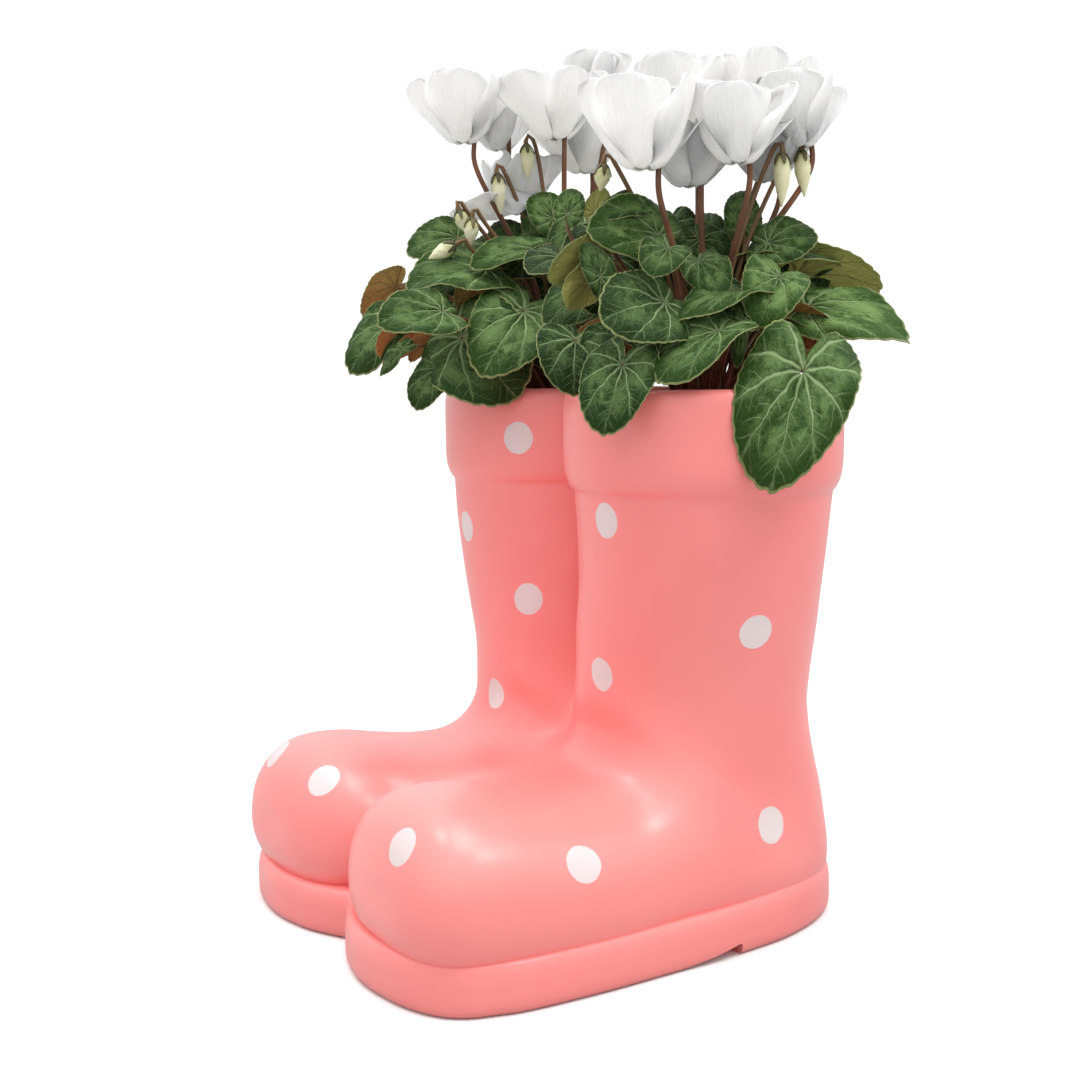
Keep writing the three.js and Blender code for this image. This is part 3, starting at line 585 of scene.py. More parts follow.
# Sections of one boot from the toe tip round the ankle and up the shaft: front (or top) point y z,
# back (or bottom) point y z, half-width, squareness of the oval, middle line x, squareness of its
# back or lower half, how widely the two boots blend into each other where they meet at X = 0, and
# how much wider they do so at the front or top.
SECTIONS = np.array([
    [-158.6, 46.8, -158.6, 46.2, 0.3, 2.01, 60.5, 2.61, 6, 0],
    [-154.9, 61.2, -159.6, 30.3, 25.8, 2.06, 61, 2.61, 6, 0],
    [-147.8, 72.1, -154.1, 17.3, 42.1, 2.11, 59.5, 2.61, 6, 0],
    [-136, 79, -143.6, 8.3, 50.9, 2.16, 58.5, 2.61, 6, 0],
    [-117.7, 79.6, -125.1, 3.2, 53.8, 2.19, 58.4, 2.61, 6, 0],
    [-96.7, 75.9, -100.1, 1.1, 55.8, 2.23, 56.8, 2.61, 6, 8],
    [-77.2, 73.4, -68.1, 0, 56.5, 2.27, 55, 2.61, 6, 12],
    [-60.9, 74.5, -34, 0, 55.8, 2.25, 52.9, 2.61, 6, 13],
    [-50.6, 80.7, 5.9, 0, 56.2, 2.25, 51.7, 2.61, 6, 11],
    [-46.4, 92.1, 43.7, 2, 54.2, 2.26, 50.5, 2.61, 6, 6],
    [-48, 106.4, 64.6, 16, 51.1, 2.28, 48.7, 2.54, 5, 3],
    [-49, 120.6, 62.8, 48, 49.7, 2.17, 49.7, 2.39, 5, 1],
    [-49.8, 135.8, 51.8, 95, 50.1, 2.15, 52.1, 2.24, 4.5, 0],
    [-50, 153.8, 53.5, 142, 53.3, 2.12, 56.5, 2.12, 4, 0],
    [-51.4, 175.9, 55.5, 174, 55.4, 2.1, 58.5, 2.1, 4.6, 0],
    [-52.7, 195.4, 58.8, 195.4, 57.6, 2.05, 58.5, 2.05, 2.8, 0],
])
# How the first section starts to change, so that the toe tip is a smooth dome.
TIP_SLOPE = np.array([0, 14.4, 0, -16.3, 25, 0, 0, 0, 0, 0])
# Cuff, rim and inner wall: how far out from the shaft, and the height.
CUFF = np.array([
    [0.1, 196.2], [1.0, 197.2], [2.2, 199.3], [3.3, 202.5], [3.9, 206.5], [4.1, 214], [4.1, 224],
    [4.0, 232], [3.6, 236], [2.5, 238.6], [0.8, 239.8], [-1.2, 240], [-3.4, 239.4], [-5.2, 237.6],
    [-6, 234.5], [-6.1, 226], [-6.2, 206],
])
CUFF_SQUARE, CUFF_BLEND = 2.05, 1.6


def cuff_rows(count):
    """Sections up the cuff, over the rim and down the inner wall."""
    step = run_along(CUFF)
    proud, z = through(step, CUFF, np.linspace(0, step[-1], count)).T
    one = np.ones(count)
    return np.stack([SHAFT_Y - SHAFT_HALF_Y - proud, z, SHAFT_Y + SHAFT_HALF_Y + proud, z,
                     SHAFT_HALF_X + proud, CUFF_SQUARE * one, SHAFT_X * one, CUFF_SQUARE * one,
                     CUFF_BLEND * one, 0 * one], -1)


def with_meeting_rows(rows):
    """Adds the section at which the boot just touches its twin, so that the open and the closed
    rings share one point there."""
    room = rows[:, 6] - rows[:, 8] - rows[:, 4]
    out = [rows[0]]
    for a, b, before, after in zip(rows[:-1], rows[1:], room[:-1], room[1:]):
        if before * after < 0:
            out.append(a + (b - a) * before / (before - after))
        out.append(b)
    return np.array(out)


def half_rings(rows, sides):
    """Rings of the boot on the +X side, cut where they meet the twin. X becomes the root of X
    squared less the blend squared, so that the two boots flow together at X = 0; the blend fades
    out away from there."""
    yf, zf, yb, zb, half, square, middle, low, blend, wider = (rows[:, k:k + 1] for k in range(10))
    top_blend = blend + np.maximum(wider, 0.0)
    cuts = []
    for reach, power in ((top_blend, square), (blend, low)):
        share = np.clip((middle - reach) / half, 0.0, 1.0)
        cuts.append(np.arccos(np.minimum(share ** (power / 2), 1.0)))
    u = np.linspace(0, 1, sides)
    u = 0.75 * (1 - np.cos(np.pi * u)) / 2 + 0.25 * u
    angle = -np.pi / 2 + cuts[0] + (TURN - cuts[0] - cuts[1]) * u
    power = 2 / np.where(np.cos(angle) < 0, low, square)
    along = np.sign(np.cos(angle)) * np.abs(np.cos(angle)) ** power
    across = np.sign(np.sin(angle)) * np.abs(np.sin(angle)) ** power
    reach = np.where(u < 0.5, top_blend, blend)
    out = middle + half * across
    reach = reach * (1 - ease((out - reach) / 60))
    x = np.sqrt(np.maximum(out**2 - reach**2, 0.0))
    y = (yf + yb) / 2 + (yf - yb) / 2 * along
    z = (zf + zb) / 2 + (zf - zb) / 2 * along
    open_ends = cuts[1][:, 0] > 1e-6
    x[open_ends, 0] = x[open_ends, -1] = 0.0
    return np.stack([x, y, z], -1)


def both_boots(rings, first, last):
    """Strip over the rings, closed at its first and last ring by fans to the given points, and its
    mirror image. Returns both as one body, still unmerged."""
    rows, columns = rings.shape[:2]
    points = np.vstack([rings.reshape(-1, 3), first, last])
    c = np.arange(columns - 1)
    tip, base = rows * columns, (rows - 1) * columns
    faces = grid_faces(rows, columns, False).tolist()
    faces += np.stack([c + 1, c, np.full_like(c, tip)], -1).tolist()
    faces += np.stack([base + c, base + c + 1, np.full_like(c, tip + 1)], -1).tolist()
    count = len(points)
    twin = [[i + count for i in face[::-1]] for face in faces]
    return np.vstack([points, points * [-1, 1, 1]]), faces + twin


def boots_upper():
    """Feet, shafts, cuffs, rim and inner walls."""
    t = np.linspace(0, 1, BOOT_ROWS) ** 1.1 * (len(SECTIONS) - 1)
    rows = through(np.arange(len(SECTIONS)), SECTIONS, t, TIP_SLOPE)
    rows = with_meeting_rows(np.vstack([rows, cuff_rows(CUFF_ROWS)]))
    rings = half_rings(rows, BOOT_SIDES)
    bottom = [[SHAFT_X, SHAFT_Y, rings[-1, 0, 2]]]
    points, faces = both_boots(rings, rings[:1].mean(1), bottom)
    sway = ripple(points, 90, 5, 2)[:, None] * [0.25, 0.35, 0.0]
    points = points + sway * ease((points[:, 2:] - 60) / 60)
    body = Body(points, faces)
    return piece("boots_upper", [body], [LOOKS["glaze"]], ["boots_planter"], weld=WELD)


# Fineness of the planter: sections along a boot, points round it, sections of its cuff, points
# round a sole, sections up its edge. Points closer than WELD millimetres become one.
BOOT_ROWS, BOOT_SIDES, CUFF_ROWS, SOLE_SIDES, SOLE_ROWS = 226, 130, 64, 220, 34
WELD = 0.02

# Sole edge from the floor up: how far in, and the height.
SOLE_EDGE = np.array([
    [4.2, 0], [2.6, 0.25], [1.2, 1.1], [0.35, 2.8], [0, 5.5], [0, 10], [0.15, 15], [0.7, 18.4],
    [1.8, 20.7], [3.4, 21.8], [5.5, 22],
])


# Plan of the sole on the +X side, from where it leaves its twin at the heel round the outer side to
# where it meets it again between the toes.
SOLE_OUTLINE = np.array([
    [-4, 13], [2.8, 29.7], [9.8, 43.5], [18.6, 54.9], [29.5, 63.2], [41.2, 68.4], [53, 70.1],
    [63.8, 68.7], [74, 64.2], [82.4, 57.9], [89.3, 49.8], [95.5, 39.9], [101.5, 26.2],
    [105.4, 12.8], [107.7, -2.1], [109.9, -20], [110.8, -40], [111.8, -58.1], [112.8, -76],
    [113, -94], [112.7, -110], [111.5, -122.9], [109.4, -130.3], [107.6, -137.1],
    [104.7, -143], [100.7, -147.9], [95.5, -152], [88.2, -155.6], [79.8, -158.5], [67.9, -160.7],
    [56.9, -161.9], [44.1, -161.6], [32.2, -159.5], [24.3, -157.5], [13.4, -152.7],
    [4.5, -147.7], [-4, -142.6],
])


def sole_ring(inset, sides, blend=1.5):
    """Plan outline of the sole on the +X side, drawn in by inset and cut where it meets its
    twin."""
    step = run_along(SOLE_OUTLINE)
    line = through(step, SOLE_OUTLINE, np.linspace(0, step[-1], 1200))
    along = unit(np.gradient(line, axis=0))
    x, y = (line + inset * np.stack([along[:, 1], -along[:, 0]], -1)).T
    inside = np.flatnonzero(x > blend)
    x = np.sqrt(np.maximum(x[inside] ** 2 - blend**2, 0.0))
    y = y[inside]
    x[0] = x[-1] = 0.0
    run = np.concatenate([[0], np.cumsum(np.hypot(np.diff(x), np.diff(y)))])
    at = np.linspace(0, run[-1], sides)
    return np.stack([np.interp(at, run, x), np.interp(at, run, y)], -1)


def boots_sole():
    """The thick sole, with an arch recess cut into its lower outer edge."""
    rings = []
    step = run_along(SOLE_EDGE)
    for inset, z in through(step, SOLE_EDGE, np.linspace(0, step[-1], SOLE_ROWS)):
        x, y = sole_ring(inset, SOLE_SIDES).T
        thicker = 2 * ease((y + 60) / 110) * max(z - 11, 0) / 11
        rings.append(np.stack([x, y, z + thicker], -1))
    middle = np.array([0.0, -50.0, 0.0])
    shares = np.array([0.25, 0.5, 0.75])[:, None, None]
    inner = middle + (rings[0] - middle) * [1, 1, 0] * shares
    top = middle + (rings[-1] - middle) * [1, 1, 0] * shares[::-1] + [0, 0, SOLE_THICK]
    rings = np.concatenate([inner, rings, top])
    points, faces = both_boots(rings, middle[None], middle[None] + [0, 0, SOLE_THICK])
    body = Body(points, faces)
    made = piece("boots_sole", [body], [LOOKS["glaze"]], ["boots_planter"], weld=WELD)
    cut_arch(made)
    return made


# Side view of the recess under the foot, Y and Z, and where its two wedges start along X.
ARCH = np.array([[-54, -2], [-54, 0], [-40, 1.2], [-26, 3.2], [-13.5, 5.6], [-12.2, 5.6],
                 [-11.5, 4.8], [-11, -2]])
ARCH_STARTS, ARCH_WIDE = (-148.5, 98.5), 50


def cut_arch(sole):
    """Takes a wedge out of the lower edge on each outer side: it rises gently from the ball of the
    foot and ends in a step before the heel."""
    ring = np.column_stack([np.zeros(len(ARCH)), ARCH])
    wedges = [loft([ring + [x, 0, 0], ring + [x + ARCH_WIDE, 0, 0]]) for x in ARCH_STARTS]
    count = len(wedges[0].points)
    cutter = bpy.data.meshes.new("arch_cutter")
    cutter.from_pydata((np.vstack([w.points for w in wedges]) * MM).tolist(), [],
                       wedges[0].faces + [[i + count for i in face] for face in wedges[1].faces])
    tool = bpy.data.objects.new("arch_cutter", cutter)
    bpy.context.scene.collection.objects.link(tool)
    cut = sole.modifiers.new("arch", "BOOLEAN")
    cut.operation, cut.solver, cut.object = "DIFFERENCE", "EXACT", tool
    shaped = sole.evaluated_get(bpy.context.evaluated_depsgraph_get())
    mesh = bpy.data.meshes.new_from_object(shaped)
    sole.modifiers.clear()
    sole.data = mesh
    mesh.set_sharp_from_angle(angle=math.radians(40))
    bpy.data.objects.remove(tool)


# ---- soil and tubers ----

def soil_body(side):
    """Soil in one shaft: an uneven round top that meets the wall, and a short plain plug below
    it."""
    sides = 96
    angle = np.linspace(0, TURN, sides, endpoint=False)
    reach = np.linspace(0, 1, 34)[1:]
    outline = np.stack([(SHAFT_HALF_X - SOIL_INSET) * np.cos(angle),
                        (SHAFT_HALF_Y - SOIL_INSET) * np.sin(angle)], -1)
    flat = outline[None] * reach[:, None, None]
    flat = flat + [side * SHAFT_X, SHAFT_Y]
    heap = np.concatenate([flat, np.zeros(flat.shape[:2] + (1,))], -1)
    z = SOIL_TOP - 0.8 + 1.5 * ripple(heap, 34, 11) + 1.1 * ripple(heap, 9, 12, 4)
    top = np.concatenate([flat, z[..., None]], -1)
    low = top[-1:].repeat(2, 0)
    low[0, :, 2], low[1, :, 2] = SOIL_PLUG
    inner = (low[1] - [side * SHAFT_X, SHAFT_Y, 0]) * [0.5, 0.5, 1] + [side * SHAFT_X, SHAFT_Y, 0]
    return loft(np.concatenate([top, low, inner[None]]))


CRUMB_COUNT = 150


def crumbs(side, count, seed):
    """Loose crumbs on the soil: small six-sided lumps of uneven size."""
    rng = np.random.default_rng(seed)
    angle = np.linspace(0, TURN, 6, endpoint=False)
    bodies = []
    for _ in range(count):
        bearing, reach = rng.uniform(0, TURN), rng.uniform(0.34, 0.95)
        size = rng.uniform(0.7, 2.3)
        centre = [side * SHAFT_X + reach * 50 * math.cos(bearing),
                  SHAFT_Y + reach * 48 * math.sin(bearing), SOIL_TOP + 0.6 + size * 0.3]
        rings = []
        for height, wide in ((-0.6, 0.5), (-0.2, 1.0), (0.3, 0.9), (0.65, 0.4)):
            r = size * wide * rng.uniform(0.75, 1.25, 6)
            rings.append(np.stack([r * np.cos(angle), r * np.sin(angle),
                                   np.full(6, size * height)], -1))
        tilt = turned(rng.uniform(0, 60), rng.uniform(0, 60))
        bodies.append(loft(np.array(rings) @ tilt + centre))
    return bodies


def turned(lean, spin):
    """Turning matrix: spin about Z, then lean about X, in degrees."""
    a, b = math.radians(lean), math.radians(spin)
    about_x = np.array([[1, 0, 0], [0, math.cos(a), math.sin(a)], [0, -math.sin(a), math.cos(a)]])
    about_z = np.array([[math.cos(b), math.sin(b), 0], [-math.sin(b), math.cos(b), 0], [0, 0, 1]])
    return about_z @ about_x


def tuber_body(side):
    """Flattened round tuber: a turned profile made lumpy by noise."""
    r = np.array([0.4, 11, 17.5, 19, 18.4, 16.3, 13, 9, 4, 0.4])
    z = np.array([221, 222.2, 225.5, 229, 231.4, 233.6, 235, 236, 236.6, 236.8])
    step = np.linspace(0, len(r) - 1, 34)
    r, z = through(np.arange(len(r)), np.stack([r, z], -1), step).T
    angle = np.linspace(0, TURN, 48, endpoint=False)
    rings = np.stack([r[:, None] * np.cos(angle), r[:, None] * np.sin(angle),
                      z[:, None] + 0 * angle], -1)
    rings = rings + [side * SHAFT_X, SHAFT_Y, 0]
    lumps = 0.5 * ripple(rings, 16, 21 + side) + 0.22 * ripple(rings, 5, 23 + side)
    away = unit(rings - [side * SHAFT_X, SHAFT_Y, 226])
    return loft(rings + away * lumps[..., None])


# ---- plants ----

def crown_height(r):
    """Height of the tuber's crown at a distance from its axis."""
    return TUBER_TOP - np.where(r < 11, r / 11, 1 + (r - 11) / (TUBER_RADIUS - 13.5) * 2.6)


def root_point(plant, bearing, distance):
    """Where a stalk leaves the tuber, a little below its skin."""
    a = math.radians(bearing)
    return np.array([PLANT_X[plant] + distance * math.cos(a), SHAFT_Y + distance * math.sin(a),
                     float(crown_height(np.maximum(distance - 1.3, 0))) - 1.0])


OUTLINE_ANGLES = np.radians([0, 12, 25, 50, 75, 100, 125, 143, 157, 168, 180])
OUTLINE_RADII = np.array([1, 0.945, 0.85, 0.69, 0.6, 0.555, 0.53, 0.5, 0.43, 0.27, 0.09])


def leaf_axes(at, tip, roll):
    """A leaf's own axes: along to the tip, normal out of its upper face (turned by roll about
    along), across, and its length."""
    along = np.subtract(tip, at).astype(float)
    length = np.linalg.norm(along)
    along = along / length
    level = unit(np.array([0, 0, 1.0]) - along * along[2])
    side = np.cross(level, along)
    normal = level * math.cos(math.radians(roll)) + side * math.sin(math.radians(roll))
    return along, normal, np.cross(normal, along), length


def blade_body(leaf, seed, sides=120, rows=15):
    """Heart-shaped blade about its junction: radius by angle from the tip with small round teeth,
    folded up along the midrib, swelling between the veins, waved at the margin and bent down
    toward the tip."""
    rng = np.random.default_rng(seed)
    along, normal, across, length = leaf_axes(leaf["at"], leaf["tip"], leaf["roll"])
    bend = math.radians(leaf["droop"])
    scale = length * (bend / 2) / math.sin(bend / 2)
    angle = np.linspace(-np.pi, np.pi, sides, endpoint=False)
    outline = through(OUTLINE_ANGLES, OUTLINE_RADII, np.abs(angle))
    lopsided = 1 + 0.06 * np.sin(angle * rng.integers(1, 3) + rng.uniform(0, TURN))
    teeth = 0.978 + 0.03 * np.abs(np.sin(angle * 18 + rng.uniform(0, 3)))
    rim = np.concatenate([[0.03], np.linspace(0.12, 0.93, rows - 3), [0.98, 1.0]])[:, None]
    r = rim * outline * lopsided * (1 + (teeth - 1) * ease((rim - 0.8) / 0.2))
    x, y = r * np.cos(angle), r * np.sin(angle) * leaf["wide"]
    turn = np.abs(angle) + 0.55 * r * np.sin(np.abs(angle))
    swell = np.abs((turn / VEIN_STEP + 0.5) % 1 - 0.5) * 2
    wave = 0.045 * rim**3 * np.sin(angle * rng.integers(3, 6) + rng.uniform(0, TURN))
    wave = wave + 0.05 * rim**2 * np.sin(angle * 2 + rng.uniform(0, TURN))
    uneven = 1 + rng.uniform(-0.5, 0.7) * np.sign(y) * ease(np.abs(y) / 0.1)
    z = math.tan(math.radians(leaf["fold"])) * (np.sqrt(y * y + 0.01) - 0.1) * uneven
    z = z + wave + 0.035 * np.sqrt(swell) * np.minimum(r, 0.5) - 0.09 * rim**5 * outline
    z = z + 0.012 * ripple(np.stack([x * 60, y * 60, 0 * x], -1), 30, seed)
    a = bend * x
    px = np.sin(a) / bend + z * np.sin(a)
    pz = (np.cos(a) - 1) / bend + z * np.cos(a)
    h = bend / 2
    ahead = px * math.cos(h) - pz * math.sin(h)
    above = px * math.sin(h) + pz * math.cos(h)
    grid = leaf["at"] + scale * (ahead[..., None] * along + y[..., None] * across
                                 + above[..., None] * normal)
    flat = np.stack([x, r * np.sin(angle)], -1)
    thin = 0.62 - 0.3 * rim**4 + 0 * x
    return sheet(grid, thin, True, 0, flat, rim=rim + 0 * x, tone=leaf["tone"], rust=leaf["rust"])


def bezier(points, count):
    """Points along the curve drawn by four control points."""
    t = np.linspace(0, 1, count)[:, None]
    a, b, c, d = (np.asarray(p, float) for p in points)
    return a * (1 - t) ** 3 + 3 * b * t * (1 - t) ** 2 + 3 * c * t * t * (1 - t) + d * t**3


def petiole_body(leaf, steps=18):
    """Leaf stalk: leaves the tuber upward and outward and comes to the junction from below."""
    along, normal, _, _ = leaf_axes(leaf["at"], leaf["tip"], leaf["roll"])
    root = root_point(leaf["plant"], *leaf["root"])
    end = np.array(leaf["at"], float) - 0.2 * normal
    reach = np.linalg.norm(end - root)
    outward = (end - root) * [0.3, 0.3, 0] + [0, 0, reach * 0.5]
    second = end - normal * reach * 0.12 - along * reach * 0.16
    path = bezier((root, root + outward, second, end), steps)
    t = np.linspace(0, 1, steps)
    return swept(path, 1.15 - 0.3 * t, 8, 1, fresh=np.append(np.repeat(0.35 * t**2, 8), [0, 0.35]))


def smooth_path(points, count):
    """Smooth path through points, at even steps along it."""
    points = np.asarray(points, float)
    step = np.sqrt(np.linalg.norm(np.diff(points, axis=0), axis=1))
    at = np.concatenate([[0], np.cumsum(step)])
    fine = through(at, points, np.linspace(0, at[-1], 400))
    run = run_along(fine)
    even = np.linspace(0, run[-1], count)
    return np.stack([np.interp(even, run, fine[:, k]) for k in range(3)], -1)


# Petal along its middle line, in millimetres for a size of 1: distance from the flower's axis,
# height over the mouth, half-width. It starts inside the mouth, turns out and sweeps up.
PETAL_STEPS = np.array([
    [2.0, 2.4, 1.5], [2.7, 0.2, 1.9], [3.6, -0.8, 2.6], [6.2, -0.2, 4.4], [9.6, 3.0, 7.8],
    [12.6, 8.0, 11.6], [14.8, 13.6, 14.4], [16.2, 18.8, 15.8], [16.8, 23.4, 15.0],
    [16.9, 26.4, 11.2], [16.8, 27.8, 0.0],
])
PETAL_TWIST = 26
PETAL_AT = np.array([0, 0.06, 0.12, 0.19, 0.29, 0.42, 0.56, 0.71, 0.85, 0.94, 1.0])


def petal_body(flower, number, rng):
    """One petal: a sheet along the line above, cupped round the axis, twisted about its own line
    and waved toward its rounded end."""
    size, spread = flower["size"], flower["spread"]
    u = 1 - (1 - np.linspace(0, 1, 24)) ** 1.35
    v = np.linspace(-1, 1, 15)
    r, h, half = through(PETAL_AT, PETAL_STEPS, u).T
    half = np.maximum(half, 0.02) * rng.uniform(0.93, 1.1)
    length = rng.uniform(0.93, 1.06)
    r = 2.5 + (np.maximum(r, 2.0) - 2.5) * (1 + (spread - 1) * ease(u * 2))
    r = r + rng.uniform(-1.6, 2.4) * ease((u - 0.3) / 0.7)
    h = h * (1 + (length - 1) * ease(u * 1.5))
    swing = math.radians(flower["hang"].get(number, 0)) * ease(u / 0.4)
    r, h = (3.4 + (r - 3.4) * np.cos(swing) + (h + 0.5) * np.sin(swing),
            (h + 0.5) * np.cos(swing) - (r - 3.4) * np.sin(swing) - 0.5)
    up, east, north = flower_axes(flower["lean"])
    bearing = math.radians(flower["spin"] + 72 * number + rng.uniform(-4, 4))
    out = east * math.cos(bearing) + north * math.sin(bearing)
    beside = np.cross(up, out)
    line = r[:, None] * out + h[:, None] * up
    along = unit(np.gradient(line, axis=0))
    facing = np.cross(along, beside)
    twist = math.radians(PETAL_TWIST + rng.uniform(-9, 9)) * ease((u - 0.12) / 0.7)
    twist = twist[:, None]
    lateral = beside * np.cos(twist) + facing * np.sin(twist)
    outer = facing * np.cos(twist) - beside * np.sin(twist)
    cup = (0.42 - 0.25 * ease((u - 0.45) / 0.5))[:, None] * half[:, None]
    phase = rng.uniform(0, TURN)
    wave = 1.5 * ease((u - 0.3) / 0.6)[:, None] * np.sin(v * 4.2 + 5 * u[:, None] + phase)
    wave = wave * np.abs(v) ** 1.5
    wave = wave + 0.45 * ease(u)[:, None] * np.sin(3.5 * np.pi * v + rng.uniform(0, TURN))
    wave = wave + 0.7 * ease((u - 0.6) / 0.3)[:, None] * np.sin(6 * v + rng.uniform(0, TURN))
    wave = wave * np.minimum(half / 13, 1)[:, None] ** 2
    if np.dot(outer[8], out) < 0:
        outer = -outer
    drawn = half[:, None] * (v - 0.12 * v**3)
    shift = -cup * v**2 + wave
    grid = line[:, None] + lateral[:, None] * drawn[..., None] + outer[:, None] * shift[..., None]
    flat = np.stack(np.broadcast_arrays(v[None], u[:, None]), -1)
    grid = np.array(flower["at"], float) + size * grid
    return sheet(grid, 0.42 - 0.16 * np.abs(v) + 0 * grid[..., 0], False, 0, flat)


def flower_axes(lean):
    """A flower's up axis, leaning in degrees along X and Y, and two axes square to it."""
    up = unit([math.sin(math.radians(lean[0])), math.sin(math.radians(lean[1])), 1.0])
    east = unit(np.array([1.0, 0, 0]) - up * up[0])
    return up, east, np.cross(up, east)


def flower_bodies(flower, seed):
    """Five petals, the short tube with its rim, five sepals and the hooked stalk."""
    rng = np.random.default_rng(seed)
    size = flower["size"]
    at = np.array(flower["at"], float)
    up, east, north = flower_axes(flower["lean"])
    bodies = [petal_body(flower, k, rng) for k in range(5)]
    angle = np.linspace(0, TURN, 30, endpoint=False)
    star = 1 + 0.05 * np.cos(5 * (angle - math.radians(flower["spin"])))

    def ring(r, h):
        spoke = np.cos(angle)[:, None] * east + np.sin(angle)[:, None] * north
        return at + size * (r * star[:, None] * spoke + h * up)

    tube = [(0.3, 3.2), (1.9, 2.6), (2.3, 0.6), (2.9, -0.35), (3.45, -0.1), (3.5, 0.9),
            (3.1, 3.6), (2.7, 7.0), (1.8, 9.0), (0.3, 9.6)]
    tube_flat = np.column_stack([np.zeros(300), np.repeat(np.linspace(0, 0.1, 10), 30)])
    bodies.append(loft([ring(r, h) for r, h in tube], 0, tube_flat))
    for k in range(5):
        bearing = math.radians(flower["spin"] + 36 + 72 * k)
        out = east * math.cos(bearing) + north * math.sin(bearing)
        t = np.linspace(0, 1, 7)[:, None, None]
        v = np.linspace(-1, 1, 5)[None, :, None]
        line = out * (1.2 + 3.4 * t ** 0.7) + up * (9.9 - 1.0 * t - 5.0 * t * t)
        width = 1.15 * np.sqrt(1 - t**2 * 0.98) * v
        bodies.append(sheet(at + size * (line + np.cross(up, out) * width), 0.3, False, 2))
    bodies.append(flower_stalk(flower, rng))
    return bodies


def flower_stalk(flower, rng):
    """Climbs beside the mouth between two petals and hooks over into the top of the tube."""
    up, east, north = flower_axes(flower["lean"])
    size = flower["size"]
    bearing = math.radians(flower["spin"] + 36)
    out = east * math.cos(bearing) + north * math.sin(bearing)
    at = np.array(flower["at"], float)

    def beside(r, h):
        return at + size * (r * out + h * up)

    root = root_point(flower["plant"], *flower["root"])
    below = beside(4.9, -9)
    span = np.linalg.norm(below - root)
    lift = root + [0, 0, span * 0.45] + (below - root) * [0.25, 0.25, 0]
    path = smooth_path([root, lift, below, beside(5.0, 1), beside(4.6, 9.5), beside(3.6, 12.3),
                        beside(2.2, 13), beside(0.8, 12), beside(0.1, 9.6)], 56)
    sway = ripple(path, 60, int(rng.integers(1e6)), 1)[:, None] * [0.7, 0.7, 0]
    t = np.linspace(0, 1, 56)
    path = path + sway * (np.sin(np.pi * t) ** 2)[:, None]
    radii = 1.65 - 0.55 * t + 0.75 * size * ease((t - 0.965) / 0.035)
    return swept(path, radii, 10, 1, fresh=0.1)


def bud_bodies(bud, seed):
    """Furled bud that hangs from its hooked stalk: a pointed drop with five ridges that wind round
    it, under a small calyx."""
    rng = np.random.default_rng(seed)
    top, tip = np.array(bud["at"], float), np.array(bud["tip"], float)
    hang = unit(tip - top)
    size = bud.get("size", 1.0)
    t = np.linspace(0, 1, 22)
    swell = through([0, 0.12, 0.35, 0.6, 0.85, 1], [1.6, 2.7, 3.3, 2.6, 1.2, 0.25], t) * size
    across = unit(np.cross(hang, [0.3, 0.9, 0.1]))
    side = np.cross(hang, across)
    angle = np.linspace(0, TURN, 20, endpoint=False)
    rings = []
    for share, radius in zip(t, swell):
        r = radius * (1 + 0.1 * np.abs(np.cos(2.5 * (angle - 4.4 * share))))
        spoke = np.cos(angle)[:, None] * across + np.sin(angle)[:, None] * side
        rings.append(top + (tip - top) * share + r[:, None] * spoke)
    run = np.linalg.norm(tip - top)
    flat = np.column_stack([np.repeat(t * run, 20), np.tile(angle / TURN, 22)])
    bodies = [loft(rings, 0, flat)]
    for k in range(5):
        bearing = TURN * (k + rng.uniform(-0.1, 0.1)) / 5
        out = across * math.cos(bearing) + side * math.sin(bearing)
        s = np.linspace(0, 1, 6)[:, None, None]
        v = np.linspace(-1, 1, 5)[None, :, None]
        line = top + size * (hang * (-1.2 + 5.0 * s) + out * (0.9 + 3.0 * s**0.6))
        width = np.cross(hang, out) * 1.1 * size * np.sqrt(1 - 0.98 * s**2) * v
        bodies.append(sheet(line + width, 0.35, False, 2))
    root = root_point(bud["plant"], *bud["root"])
    over = top - hang * 4.5
    back = unit((root - top) * [1, 1, 0])
    beside = over + back * 4 - [0, 0, 2.5]
    span = np.linalg.norm(beside - root)
    lift = root + [0, 0, span * 0.5] + (beside - root) * [0.25, 0.25, 0]
    path = smooth_path([root, lift, beside, over + back * 1.6 + [0, 0, 0.8], over, top + hang], 40)
    radii = 1.0 + 0.35 * ease((np.linspace(0, 1, 40) - 0.94) / 0.06)
    bodies.append(swept(path, radii, 8, 1, fresh=0.25))
    return bodies
